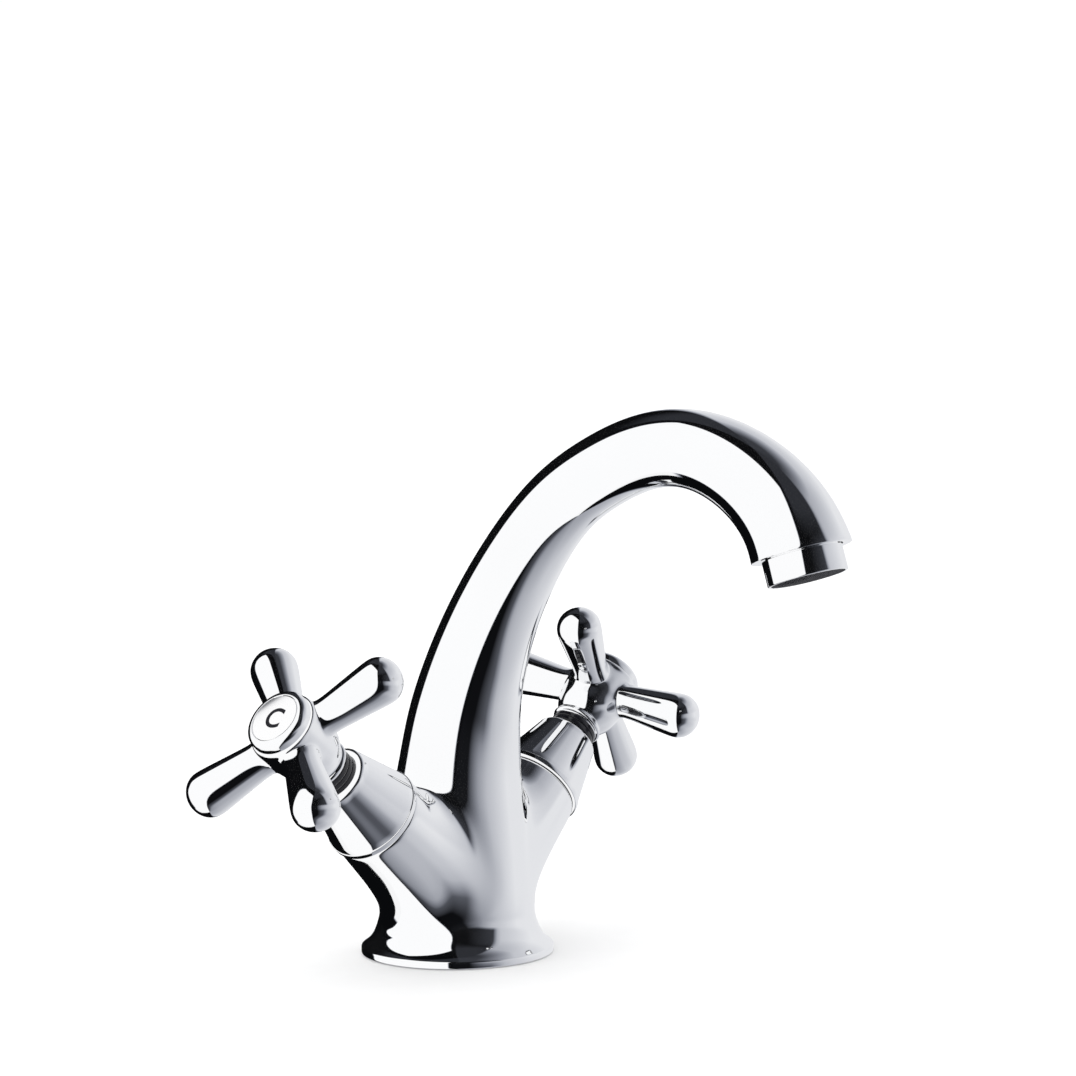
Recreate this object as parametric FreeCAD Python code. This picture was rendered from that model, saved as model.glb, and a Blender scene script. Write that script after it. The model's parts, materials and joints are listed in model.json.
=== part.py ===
"""Two-handle basin mixer with a swan-neck spout, drawn as the pieces it comes apart into.

Units are millimetres. +Z is up, the origin is the centre of the foot's underside, and the spout
reaches out towards -Y. Each valve and handle is drawn upright on its own axis, then tilted into
place: its Z is the valve's axis, its X points up along the handle's face.
"""
import FreeCAD
import Part
import math
import os

V = FreeCAD.Vector

# ---- Overall sizes -------------------------------------------------------------------------
FOOT_R = 28.0             # radius of the foot
FOOT_BAND = 2.2           # height of the upright band round the foot
WAIST_R = 22.8            # narrowest radius above the foot
WAIST_Z = 12.0            # height of the waist
NECK_R = 18.1             # radius of the column where the spout leaves it
NECK_Z = 55.0             # height of that place
SPOUT_REACH = 121.6       # from the column's axis to the middle of the lip
SPOUT_RISE = 65.0         # from the neck up to the lip
LIP_R = 13.7              # outer radius of the spout's lip
SPOUT_R = 10.4            # outer radius of the spout at its crown
OUTLET_TILT = 16.8        # degrees that the outlet leans forward from straight down

LIP_RUN = 14.3            # how far above the lip the spout already points the outlet's way

# Shape of the spout's centre line between the neck and the lip: share of the reach, share of the
# rise, and how far the radius there has come back from the crown's to the neck's.
NECK_POLES = ((0.01, 0.0, 1.0), (0.033, 0.42, 0.50), (0.244, 1.08, 0.05), (0.433, 1.315, 0.0))
CROWN_POLE = (0.719, 1.515)
SWELL = 0.63              # share of the lip's swelling that is reached at the start of LIP_RUN

# ---- Body casting --------------------------------------------------------------------------
FLARE_R = 24.2            # radius part of the way up the flare over the foot band
FLARE_Z = 5.7             # height of that place
ARM_TILT = 51.0           # degrees from upright to each valve's axis
ARM_ROOT_Z = 15.25        # height where the two valve axes cross
BOSS_LENGTH = 45.0        # from that crossing to the face that the bonnet stands on
BOSS_R = 13.8             # radius of the boss at that face
BOSS_ROOT_R = 16.0        # radius of the boss where it leaves the column
BOSS_ROOT = 20.0          # distance along the axis of that place
CREASE_R = 2.5            # fillet where the bosses leave the column
SPOUT_WALL = 2.8          # wall of the spout at its crown
CHAMBER_R = 10.5          # radius of the mixing chamber in the column
CHAMBER_Z = 37.0          # height of its floor
DUCT_R = 4.0              # radius of the ducts from the valves to the mixing chamber
DUCT_Z = 44.5             # height of those ducts
FOOT_SEAL_R = 24.0        # ring radius of the seal under the foot
FOOT_SEAL_W = 1.3         # radius of its round section
INLET_X = 9.5             # how far each hose inlet is from the middle
INLET_R = 4.5             # radius of the M10 thread bore
INLET_DEPTH = 11.0        # length of that thread
INLET_BORE_R = 3.8        # radius of the passage above it
STUD_Y = 11.0             # how far behind the middle the fixing stud's hole is
STUD_R = 3.4              # radius of the M8 thread bore
STUD_DEPTH = 14.0         # length of that thread

# ---- Aerator -------------------------------------------------------------------------------
AERATOR_R = 10.87         # outer radius of the ring that shows under the lip
AERATOR_DROP = 7.0        # how far it stands out of the lip
AERATOR_WALL = 1.45       # wall of the ring
AERATOR_SHANK_R = 9.8     # radius of the thread that goes up into the spout
AERATOR_SHANK = 5.0       # length of that thread
WASHER_T = 1.6            # thickness of the flat washer above the shank
WASHER_IN_R = 7.4         # radius of the hole in it
CORE_T = 6.0              # height of the flow insert
SCREEN_T = 0.6            # thickness of the screen
SCREEN_PITCH = 1.9        # spacing of its holes
SCREEN_BAR = 0.5          # width of metal left between two holes
SCREEN_SET = 0.8          # how far the screen is up inside the ring's mouth

# ---- Valve ---------------------------------------------------------------------------------
THREAD_R = 10.3           # radius of the G1/2 thread in the boss
THREAD_LENGTH = 7.0       # length of that thread
SEAT_S = 26.0             # distance of the valve seat from where the axes cross
SEAT_R = 4.6              # radius of the hole in the seat
CARTRIDGE_R = 8.6         # radius of the valve body below the thread
CARTRIDGE_WALL = 1.3      # wall of that part
WINDOW_W = 7.0            # width of the two water windows in it
SEAL_T = 1.8              # height of the rubber seat seal
DISC_T = 2.6              # thickness of each ceramic disc
PORT_IN_R = 2.4           # inner radius of the two openings in each disc
PORT_W = 4.0              # width of those openings
HEX_AF = 19.0             # across the flats of the valve's hexagon
HEX_T = 6.0               # height of the hexagon
COLLAR_R = 8.4            # radius of the collar that the bonnet screws on to
COLLAR_T = 5.0            # height of the collar
STEM_R = 5.3              # radius of the valve body's stem
STEM_LIP = 2.0            # how far the stem's top stays below the bonnet's top
SPINDLE_R = 4.0           # radius of the spindle
DRIVER_R = 6.4            # radius of the spindle's driving plate
DRIVER_T = 2.0            # thickness of the driving plate
TANG_W = 3.0              # width of the tang that turns the moving disc
SPLINE_TEETH = 20         # teeth on the spindle's end
SPLINE_DEPTH = 0.45       # depth of those teeth
SPLINE_LENGTH = 9.0       # length of the splined end
ORING_W = 0.6             # radius of the section of the spindle's two O-rings
VALVE_ORING_W = 0.9       # radius of the section of the O-ring under the hexagon
CLIP_T = 0.8              # thickness of the spindle's clip

# ---- Bonnet --------------------------------------------------------------------------------
BONNET_R = 14.35          # radius of the bonnet's rim
BONNET_TOP_R = 9.6        # radius of the bonnet at its top
BONNET_HEIGHT = 20.6      # height of the bonnet
BONNET_WALL = 1.4         # its wall
BONNET_SEAL_T = 0.4       # thickness of the fibre ring under its rim
RIM_BEVEL = 0.7           # bevel round the rim

# ---- Handle --------------------------------------------------------------------------------
SLEEVE_R = 6.9            # radius of the sleeve that goes down into the bonnet
SLEEVE_WALL = 0.9         # its wall
SLEEVE_IN = 5.0           # how far it goes down into the bonnet
LIP_GAP = 5.2             # from the bonnet's top to the bead round the sleeve
BEAD_R = 7.9              # radius of that bead
BEAD_T = 1.5              # height of that bead
GROOVE_R = 7.2            # radius of the groove above the bead
ARM_LEVEL = 14.3          # from the bead's foot up to the arms' axes
HUB_R = 10.1              # radius of the hub at the arms
HUB_RISE = 6.2            # from the arms' axes up to the hub's top
ARM_REACH = 28.3          # from the hub's axis to the middle of an arm's round end
ARM_TIP_R = 6.8           # radius of that round end
ARM_ROOT_R = 4.3          # radius of an arm where it leaves the hub
ARM_FILLET = 1.2          # fillet round an arm's root
ARM_COUNT = 4             # arms on a handle
LEFT_TURN = 44.5          # degrees from the handle's own X to its first arm, left handle
RIGHT_TURN = 14.0         # the same on the right handle
SCREW_R = 2.0             # radius of the handle screw
SCREW_HEAD_R = 3.6        # radius of its head
SCREW_HEAD_T = 2.4        # height of its head
SCREW_LENGTH = 10.0       # length under its head
WEB_T = 3.0               # metal left between the spline bore and the screw's head
CAP_R = 9.6               # radius of the cap's flange
CAP_FACE_R = 8.3          # radius of the cap's face
CAP_FLANGE = 1.5          # height of the flange
CAP_HEIGHT = 3.6          # height of the whole cap above the hub
CAP_SKIRT_R = 7.9         # radius of the skirt that goes down into the hub
CAP_SKIRT = 2.4           # depth of the skirt
DISC_R = 7.2              # radius of the marked disc in the cap
INDEX_T = 0.8             # thickness of that disc
LETTER_R = 2.9            # half the height of the letter
LETTER_W = 0.7            # width of its stroke
LETTER_T = 0.35           # depth of the letter in the disc

# ---- Clearances ----------------------------------------------------------------------------
FIT = 0.05                # between pieces that are pushed or screwed together
RUNNING = 0.05            # between the spindle and the bore that it turns in
FREE = 0.35               # between pieces that turn past each other without touching

# ---- Stations along a valve's axis, from where the two axes cross ------------------------------
BONNET_FOOT_S = BOSS_LENGTH + BONNET_SEAL_T
BONNET_TOP_S = BONNET_FOOT_S + BONNET_HEIGHT
HEX_TOP_S = BOSS_LENGTH + HEX_T
COLLAR_TOP_S = HEX_TOP_S + COLLAR_T
STEM_TOP_S = BONNET_TOP_S - STEM_LIP
BEAD_S = BONNET_TOP_S + LIP_GAP
HUB_FOOT_S = BEAD_S + BEAD_T + 0.8
ARM_S = BEAD_S + ARM_LEVEL
HUB_TOP_S = ARM_S + HUB_RISE
CARTRIDGE_S = SEAT_S + SEAL_T - FIT
DRIVER_S = CARTRIDGE_S + 2.0 * DISC_T
SPLINE_TOP_S = ARM_S - WEB_T
CAP_TOP_S = HUB_TOP_S + CAP_HEIGHT
TOP_GROOVE = 1.2          # from the stem's top up to the clip's groove


def rod(radius, low, high):
    """A solid cylinder on Z between two heights."""
    return Part.makeCylinder(radius, high - low, V(0, 0, low))


def ring(outer, inner, low, high):
    """A tube on Z between two heights."""
    return rod(outer, low, high).cut(rod(inner, low - 1.0, high + 1.0))


def block(size, centre):
    """A box by its size and its middle."""
    corner = V(*centre) - V(*size) * 0.5
    return Part.makeBox(size[0], size[1], size[2], corner)


def turned(edges):
    """A solid turned about Z from the edges of a closed outline in the XZ plane."""
    face = Part.Face(Part.Wire(edges))
    return face.revolve(V(0, 0, 0), V(0, 0, 1), 360)


def line(start, end):
    """A straight edge of an outline, from one (radius, height) to another."""
    return Part.makeLine(V(start[0], 0, start[1]), V(end[0], 0, end[1]))


def arc(start, middle, end):
    """A round edge of an outline through three (radius, height) places."""
    points = [V(p[0], 0, p[1]) for p in (start, middle, end)]
    return Part.Arc(*points).toShape()


def curve(places):
    """A smooth edge of an outline through several (radius, height) places."""
    spline = Part.BSplineCurve()
    spline.interpolate([V(p[0], 0, p[1]) for p in places])
    return spline.toShape()


def torus(ring_r, section_r, height):
    """A round-section ring on Z."""
    return Part.makeTorus(ring_r, section_r, V(0, 0, height))


def fuse(shapes):
    """One solid from several that overlap, with shared faces merged."""
    return shapes[0].fuse(shapes[1:]).removeSplitter()


def tilt(shape, side):
    """Moves a piece from a valve's own upright frame to its place, side -1 left or +1 right."""
    placed = shape.copy()
    if side > 0:
        placed.rotate(V(0, 0, 0), V(0, 0, 1), 180)
    placed.rotate(V(0, 0, 0), V(0, 1, 0), side * ARM_TILT)
    placed.translate(V(0, 0, ARM_ROOT_Z))
    return placed


def at_outlet(shape):
    """Moves a piece from the aerator's own upright frame, its origin at the mouth, to its place."""
    placed = shape.copy()
    placed.rotate(V(0, 0, 0), V(1, 0, 0), -OUTLET_TILT)
    lean = math.radians(OUTLET_TILT)
    mouth = V(0, -SPOUT_REACH - AERATOR_DROP * math.sin(lean),
              NECK_Z + SPOUT_RISE - AERATOR_DROP * math.cos(lean))
    placed.translate(mouth)
    return placed


# ---- Body casting --------------------------------------------------------------------------
def spout_line():
    """The spout's centre line, with its outer radius carried as the curve's X."""
    poles = []
    for out, up, share in NECK_POLES:
        radius = SPOUT_R + share * (NECK_R - SPOUT_R)
        poles.append(V(radius, -out * SPOUT_REACH, NECK_Z + up * SPOUT_RISE))
    out, up = CROWN_POLE
    poles.append(V(SPOUT_R, -out * SPOUT_REACH, NECK_Z + up * SPOUT_RISE))
    lean = math.radians(OUTLET_TILT)
    lip = V(LIP_R, -SPOUT_REACH, NECK_Z + SPOUT_RISE)
    swell_r = SPOUT_R + SWELL * (LIP_R - SPOUT_R)
    poles.append(V(swell_r, lip.y + LIP_RUN * math.sin(lean), lip.z + LIP_RUN * math.cos(lean)))
    poles.append(lip)
    curve = Part.BSplineCurve()
    count = len(poles)
    inner = count - 4
    knots = [i / (inner + 1.0) for i in range(inner + 2)]
    curve.buildFromPolesMultsKnots(poles, [4] + [1] * inner + [4], knots, False, 3)
    return curve


def hoop(radius, y, z, lean):
    """A circle square to the centre line, which leans forward by an angle in radians."""
    wire = Part.Wire(Part.makeCircle(radius))
    wire.rotate(V(0, 0, 0), V(1, 0, 0), math.degrees(lean))
    wire.translate(V(0, y, z))
    return wire


def spout_stations(count):
    """Places along the spout: share of the way, outer radius, Y, Z and lean."""
    curve = spout_line()
    places = []
    for index in range(count + 1):
        share = index / count
        point = curve.value(share)
        along = curve.tangent(share)[0]
        places.append((share, point.x, point.y, point.z, math.atan2(-along.y, along.z)))
    return places


def column_hoops():
    """Circles up the column, from the waist to just below the neck."""
    hoops = [hoop(WAIST_R, 0, WAIST_Z, 0)]
    for share, bulge in ((0.35, 0.30), (0.7, 0.66)):
        radius = WAIST_R + bulge * (NECK_R - WAIST_R)
        hoops.append(hoop(radius, 0, WAIST_Z + share * (NECK_Z - WAIST_Z), 0))
    return hoops


def column_and_spout():
    """The outer skin from the waist to the lip, one smooth loft."""
    hoops = column_hoops()
    hoops += [hoop(radius, y, z, lean) for _, radius, y, z, lean in spout_stations(14)]
    return Part.makeLoft(hoops, True, False)


def foot():
    """The foot: an upright band, then a flare that ends upright at the waist."""
    flare = Part.BSplineCurve()
    flare.interpolate([V(FOOT_R, 0, FOOT_BAND), V(FLARE_R, 0, FLARE_Z), V(WAIST_R, 0, WAIST_Z)],
                      InitialTangent=V(-1, 0, 0.25), FinalTangent=V(0, 0, 1))
    edges = [line((0, 0), (FOOT_R, 0)), line((FOOT_R, 0), (FOOT_R, FOOT_BAND)), flare.toShape(),
             line((WAIST_R, WAIST_Z), (0, WAIST_Z)), line((0, WAIST_Z), (0, 0))]
    return turned(edges)


def boss(side):
    """The slightly tapered boss that a valve screws into."""
    cone = Part.makeCone(BOSS_ROOT_R, BOSS_R, BOSS_LENGTH - BOSS_ROOT, V(0, 0, BOSS_ROOT))
    root = Part.makeCone(CHAMBER_R, BOSS_ROOT_R, BOSS_ROOT)
    return tilt(cone.fuse(root), side)


def water_way():
    """The mixing chamber and the bore of the spout, down to the washer's seat."""
    bore_r = SPOUT_R - SPOUT_WALL
    hoops = [hoop(CHAMBER_R, 0, CHAMBER_Z, 0), hoop(CHAMBER_R, 0, 0.5 * (CHAMBER_Z + NECK_Z), 0)]
    for share, _, y, z, lean in spout_stations(12):
        radius = bore_r + (CHAMBER_R - bore_r) * (1.0 - share) ** 4
        hoops.append(hoop(radius, y, z, lean))
    return Part.makeLoft(hoops, True, False)


def outlet_thread():
    """The threaded recess in the lip that takes the aerator."""
    depth = AERATOR_DROP + AERATOR_SHANK + WASHER_T
    return at_outlet(rod(AERATOR_SHANK_R + FIT, AERATOR_DROP - 3.0, depth))


def valve_chamber(side):
    """The bore for one valve, its seat and the passage below the seat."""
    open_end = BOSS_LENGTH + 2.0
    bore = rod(THREAD_R + FIT, SEAT_S, open_end)
    passage = rod(SEAT_R, SEAT_S - 14.0, SEAT_S + 1.0)
    return tilt(bore.fuse(passage), side)


def body_casting():
    """The one-piece brass body: foot, column, two bosses and the spout, with its water ways."""
    skin = fuse([foot(), column_and_spout(), boss(-1), boss(1)])
    skin = crease_fillets(skin)
    cuts = [water_way(), outlet_thread(), valve_chamber(-1), valve_chamber(1)]
    duct_end = (BOSS_LENGTH - THREAD_LENGTH - 2.0) * math.sin(math.radians(ARM_TILT)) - DUCT_R - 1.0
    cuts.append(Part.makeCylinder(DUCT_R, 2 * duct_end, V(-duct_end, 0, DUCT_Z), V(1, 0, 0)))
    passage_top = ARM_ROOT_Z + SEAT_R + DUCT_R
    for side in (-1, 1):
        place = V(side * INLET_X, 0, 0)
        cuts.append(Part.makeCylinder(INLET_R, INLET_DEPTH, place))
        cuts.append(Part.makeCylinder(INLET_BORE_R, passage_top, place))
    cuts.append(Part.makeCylinder(STUD_R, STUD_DEPTH, V(0, STUD_Y, 0)))
    groove = ring(FOOT_SEAL_R + FOOT_SEAL_W + 0.2, FOOT_SEAL_R - FOOT_SEAL_W - 0.2, 0,
                  2 * FOOT_SEAL_W + FIT)
    cuts.append(groove)
    return skin.cut(cuts)


def crease_fillets(skin):
    """Rounds the edges where the two bosses leave the column."""
    edges = [edge for edge in skin.Edges if is_crease(edge)]
    return skin.makeFillet(CREASE_R, edges)


def is_crease(edge):
    """True for an edge that runs round a boss where it leaves the column."""
    box = edge.BoundBox
    above = box.ZMin > WAIST_Z + 0.5 and box.ZMax < NECK_Z + 8.0
    beside = min(abs(box.XMin), abs(box.XMax)) < 0.6 * BOSS_LENGTH and box.XLength > 1.0
    open_end = BOSS_LENGTH * math.sin(math.radians(ARM_TILT)) - BOSS_R
    return above and beside and max(abs(box.XMin), abs(box.XMax)) < open_end + BOSS_R


def base_seal():
    """The O-ring in the groove under the foot."""
    return torus(FOOT_SEAL_R, FOOT_SEAL_W, FOOT_SEAL_W)


# ---- Aerator -------------------------------------------------------------------------------
def aerator_housing():
    """The chromed ring with its thread, open in the middle, with a small lip at its mouth."""
    bore_r = AERATOR_R - AERATOR_WALL
    top = AERATOR_DROP + AERATOR_SHANK
    shell = rod(AERATOR_R, 0, AERATOR_DROP - FIT)
    shell = shell.makeChamfer(0.4, [e for e in shell.Edges if e.BoundBox.ZMax < 0.01])
    shell = shell.fuse(rod(AERATOR_SHANK_R, AERATOR_DROP - 1.0, top))
    shell = shell.cut(rod(bore_r, SCREEN_SET, AERATOR_DROP - 0.6))
    shell = shell.cut(rod(bore_r - 0.5, -1.0, SCREEN_SET + 0.5))
    shell = shell.cut(rod(WASHER_IN_R, AERATOR_DROP - 1.0, top + 1.0))
    return at_outlet(shell.removeSplitter())


def aerator_screen():
    """The perforated screen just inside the ring's mouth."""
    radius = AERATOR_R - AERATOR_WALL - FIT
    disc = rod(radius, SCREEN_SET, SCREEN_SET + SCREEN_T)
    hole = SCREEN_PITCH - SCREEN_BAR
    reach = int(radius / SCREEN_PITCH)
    limit = radius - 0.5 - FIT
    holes = []
    for i in range(-reach, reach + 1):
        for j in range(-reach, reach + 1):
            x, y = i * SCREEN_PITCH, j * SCREEN_PITCH
            if math.hypot(abs(x) + hole / 2, abs(y) + hole / 2) < limit:
                holes.append(block((hole, hole, 3 * SCREEN_T), (x, y, SCREEN_SET + SCREEN_T / 2)))
    return at_outlet(disc.cut(holes))


def aerator_core():
    """The plastic flow insert: a dished disc with a circle of jet holes and legs on the screen."""
    low = SCREEN_SET + SCREEN_T + FIT
    outer = AERATOR_R - AERATOR_WALL - FIT
    high = AERATOR_DROP - 0.6 - FIT
    core = ring(outer, outer - 1.0, low, high).fuse(rod(outer, high - 1.2, high))
    core = core.fuse(rod(2.0, low, high))
    for index in range(12):
        angle = math.radians(30 * index)
        place = V(5.4 * math.cos(angle), 5.4 * math.sin(angle), low)
        core = core.cut(Part.makeCylinder(0.8, high, place))
    return at_outlet(core.removeSplitter())


def aerator_washer():
    """The flat rubber washer between the aerator and its seat in the spout."""
    low = AERATOR_DROP + AERATOR_SHANK
    return at_outlet(ring(AERATOR_SHANK_R - FIT, WASHER_IN_R + 0.3, low, low + WASHER_T))


# ---- Valve ---------------------------------------------------------------------------------
def spline_outline(radius, depth):
    """The closed outline of the splines, drawn in the XY plane."""
    points = []
    for index in range(2 * SPLINE_TEETH):
        angle = math.pi * (index + 0.5) / SPLINE_TEETH
        r = radius if index % 2 else radius - depth
        points.append(V(r * math.cos(angle), r * math.sin(angle), 0))
    return Part.Wire(Part.makePolygon(points + [points[0]]))


def splined(radius, low, high):
    """A splined bar on Z between two heights."""
    face = Part.Face(spline_outline(radius, SPLINE_DEPTH))
    bar = face.extrude(V(0, 0, high - low))
    bar.translate(V(0, 0, low))
    return bar


def hexagon(across_flats, low, high):
    """A hexagonal bar on Z between two heights."""
    corner = across_flats / math.sqrt(3)
    points = [V(corner * math.cos(math.radians(60 * i)), corner * math.sin(math.radians(60 * i)), low)
              for i in range(7)]
    return Part.Face(Part.Wire(Part.makePolygon(points))).extrude(V(0, 0, high - low))


def valve_body(side):
    """The brass headwork: cartridge tube, thread, hexagon, collar and stem."""
    thread_s = BOSS_LENGTH - THREAD_LENGTH
    groove = VALVE_ORING_W * 2 + FIT
    body = rod(CARTRIDGE_R, CARTRIDGE_S, thread_s + 1.0)
    body = body.fuse([rod(THREAD_R, thread_s, BOSS_LENGTH), hexagon(HEX_AF, BOSS_LENGTH, HEX_TOP_S),
                      rod(THREAD_R, BOSS_LENGTH, BOSS_LENGTH + 1.0),
                      rod(COLLAR_R, HEX_TOP_S, COLLAR_TOP_S), rod(STEM_R, COLLAR_TOP_S, STEM_TOP_S)])
    body = body.cut(ring(THREAD_R + 1.0, THREAD_R - groove, BOSS_LENGTH - groove, BOSS_LENGTH))
    body = body.cut(rod(CARTRIDGE_R - CARTRIDGE_WALL, SEAT_S, DRIVER_S + DRIVER_T + FIT))
    body = body.cut(rod(SPINDLE_R + RUNNING, DRIVER_S, STEM_TOP_S + 1.0))
    window = block((2 * CARTRIDGE_R + 2, WINDOW_W, DISC_T * 1.2), (0, 0, DRIVER_S - 0.2))
    return tilt(body.cut(window).removeSplitter(), side)


def valve_oring(side):
    """The O-ring between the hexagon and the boss."""
    centre = BOSS_LENGTH - VALVE_ORING_W - FIT / 2
    return tilt(torus(THREAD_R - VALVE_ORING_W - FIT / 2, VALVE_ORING_W, centre), side)


def seat_seal(side):
    """The rubber seal between the fixed disc and the seat in the body."""
    outer = CARTRIDGE_R - CARTRIDGE_WALL - FIT
    return tilt(ring(outer, SEAT_R, SEAT_S, SEAT_S + SEAL_T - FIT), side)


def disc_port(low, high):
    """The two openings that are cut through a ceramic disc."""
    outer = CARTRIDGE_R - CARTRIDGE_WALL - 1.6
    sector = ring(outer, PORT_IN_R, low - 1.0, high + 1.0)
    return sector.common(block((2 * outer, PORT_W, high - low + 2.0), (0, 0, (low + high) / 2)))


def disc_fixed(side):
    """The fixed ceramic disc, which sits on the seat seal."""
    low = SEAT_S + SEAL_T
    high = low + DISC_T - FIT
    outer = CARTRIDGE_R - CARTRIDGE_WALL - FIT
    return tilt(rod(outer, low, high).cut(disc_port(low, high)), side)


def disc_moving(side):
    """The moving ceramic disc, with the slot that the spindle's tang turns."""
    low = SEAT_S + SEAL_T + DISC_T + FIT
    high = DRIVER_S - FIT
    outer = CARTRIDGE_R - CARTRIDGE_WALL - FREE
    disc = rod(outer, low, high).cut(disc_port(low, high))
    slot = block((2 * DRIVER_R, TANG_W, DISC_T * 0.5), (0, 0, high))
    return tilt(disc.cut(slot), side)


def spindle(side):
    """The brass spindle: driving plate and tang, shaft, clip groove, splined end, screw thread."""
    plate_foot = DRIVER_S + FIT
    tang_depth = DISC_T * 0.25 - 2 * FIT
    shaft = rod(DRIVER_R, plate_foot, DRIVER_S + DRIVER_T)
    tang = block((2 * DRIVER_R - 1.0, TANG_W - 2 * FIT, tang_depth),
                 (0, 0, plate_foot - tang_depth / 2))
    low_spline = SPLINE_TOP_S - SPLINE_LENGTH
    shaft = shaft.fuse([tang, rod(SPINDLE_R, DRIVER_S, low_spline), splined(SPINDLE_R, low_spline, SPLINE_TOP_S)])
    for height in oring_heights():
        shaft = shaft.cut(ring(SPINDLE_R + 1.0, SPINDLE_R - 2 * ORING_W, height - ORING_W - FIT,
                               height + ORING_W + FIT))
    clip_s = STEM_TOP_S + TOP_GROOVE
    shaft = shaft.cut(ring(SPINDLE_R + 1.0, SPINDLE_R - 0.8, clip_s, clip_s + CLIP_T + 2 * FIT))
    shaft = shaft.cut(rod(SCREW_R + FIT, SPLINE_TOP_S - SCREW_LENGTH, SPLINE_TOP_S + 1.0))
    return tilt(shaft.removeSplitter(), side)


def oring_heights():
    """Where the two O-rings sit on the spindle."""
    middle = 0.5 * (COLLAR_TOP_S + STEM_TOP_S)
    return (middle - 2.0, middle + 1.0)


def spindle_orings(side):
    """The two O-rings on the spindle."""
    rings = [torus(SPINDLE_R - ORING_W, ORING_W, height) for height in oring_heights()]
    return tilt(Part.makeCompound(rings), side)


def spindle_clip(side):
    """The open clip that keeps the spindle in the headwork."""
    low = STEM_TOP_S + TOP_GROOVE + FIT
    clip = ring(STEM_R - 0.3, SPINDLE_R - 0.8 + FIT, low, low + CLIP_T)
    return tilt(clip.cut(block((STEM_R, 2.4, 3 * CLIP_T), (STEM_R / 2 + 2.0, 0, low))), side)


# ---- Bonnet --------------------------------------------------------------------------------
def bonnet(side):
    """The chromed bell over the headwork, screwed on to its collar."""
    foot_s, top_s = BONNET_FOOT_S, BONNET_TOP_S
    round_r = 1.1
    crown = BONNET_TOP_R
    slope = (BONNET_R - crown) / (BONNET_HEIGHT - RIM_BEVEL - round_r)
    shoulder = (crown, top_s - round_r)
    rim = (BONNET_R, foot_s + 2 * RIM_BEVEL)
    mid_s = 0.5 * (shoulder[1] + rim[1])
    waist = (crown + slope * (top_s - mid_s) * 0.86, mid_s)
    hole = SLEEVE_R + FREE
    turn = round_r * (1 - math.sqrt(0.5))
    outer = [line((hole, top_s), (crown - round_r, top_s)),
             arc((crown - round_r, top_s), (crown - turn, top_s - turn), shoulder),
             curve((shoulder, waist, rim)), line(rim, (BONNET_R - RIM_BEVEL, foot_s))]
    inner_foot = BONNET_R - BONNET_WALL - 0.4
    inner_top = crown - BONNET_WALL
    inside = [(BONNET_R - RIM_BEVEL, foot_s), (inner_foot, foot_s), (inner_foot, HEX_TOP_S + 0.6),
              (COLLAR_R + FIT, HEX_TOP_S + 0.6), (COLLAR_R + FIT, COLLAR_TOP_S + 0.4),
              (inner_top, COLLAR_TOP_S + 1.5), (inner_top, top_s - 2.2), (hole, top_s - 1.6),
              (hole, top_s)]
    inner = [line(a, b) for a, b in zip(inside, inside[1:])]
    return tilt(turned(outer + inner), side)


def bonnet_seal(side):
    """The thin fibre ring between the bonnet's rim and the boss, which passes over the hexagon."""
    outer = BOSS_R - 0.4
    hole = max(THREAD_R, HEX_AF / math.sqrt(3)) + FREE
    return tilt(ring(outer, hole, BOSS_LENGTH + FIT, BONNET_FOOT_S - FIT), side)


# ---- Handle --------------------------------------------------------------------------------
def hub():
    """The hub, turned with its sleeve, bead and groove."""
    foot_s = BONNET_TOP_S - SLEEVE_IN
    bead_top = BEAD_S + BEAD_T
    bead = arc((SLEEVE_R, BEAD_S), (BEAD_R, BEAD_S + BEAD_T / 2), (GROOVE_R, bead_top))
    flare = arc((GROOVE_R, HUB_FOOT_S), (HUB_R - 0.9, HUB_FOOT_S + 4.2), (HUB_R, ARM_S))
    crown = arc((HUB_R, ARM_S), (HUB_R - 0.1, ARM_S + HUB_RISE / 2), (CAP_R, HUB_TOP_S))
    edges = [line((0, foot_s), (SLEEVE_R, foot_s)), line((SLEEVE_R, foot_s), (SLEEVE_R, BEAD_S)), bead,
             line((GROOVE_R, bead_top), (GROOVE_R, HUB_FOOT_S)), flare, crown,
             line((CAP_R, HUB_TOP_S), (0, HUB_TOP_S)), line((0, HUB_TOP_S), (0, foot_s))]
    return turned(edges)


def handle_arm(angle):
    """One arm: a cone that widens to a round end, turned about its own axis."""
    root = 4.0
    rise = math.asin((ARM_TIP_R - ARM_ROOT_R) / (ARM_REACH - root))
    touch = (ARM_TIP_R * math.cos(rise), ARM_REACH - ARM_TIP_R * math.sin(rise))
    half = 0.5 * (math.pi / 2 - rise)
    belly = (ARM_TIP_R * math.cos(half), ARM_REACH + ARM_TIP_R * math.sin(half))
    tip = (0, ARM_REACH + ARM_TIP_R)
    edges = [line((0, root), (ARM_ROOT_R, root)), line((ARM_ROOT_R, root), touch),
             arc(touch, belly, tip), line(tip, (0, root))]
    arm = turned(edges)
    arm.rotate(V(0, 0, 0), V(0, 1, 0), 90)
    arm.rotate(V(0, 0, 0), V(0, 0, 1), angle)
    arm.translate(V(0, 0, ARM_S))
    return arm


def is_arm_root(edge):
    """True for an edge that runs round an arm where it leaves the hub."""
    if edge.Degenerated or isinstance(edge.Curve, Part.Circle):
        return False
    points = edge.discretize(5)
    far = max(math.hypot(p.x, p.y) for p in points)
    level = max(abs(p.z - ARM_S) for p in points)
    return far < HUB_R + 1.0 and level < ARM_ROOT_R + 1.5


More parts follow.
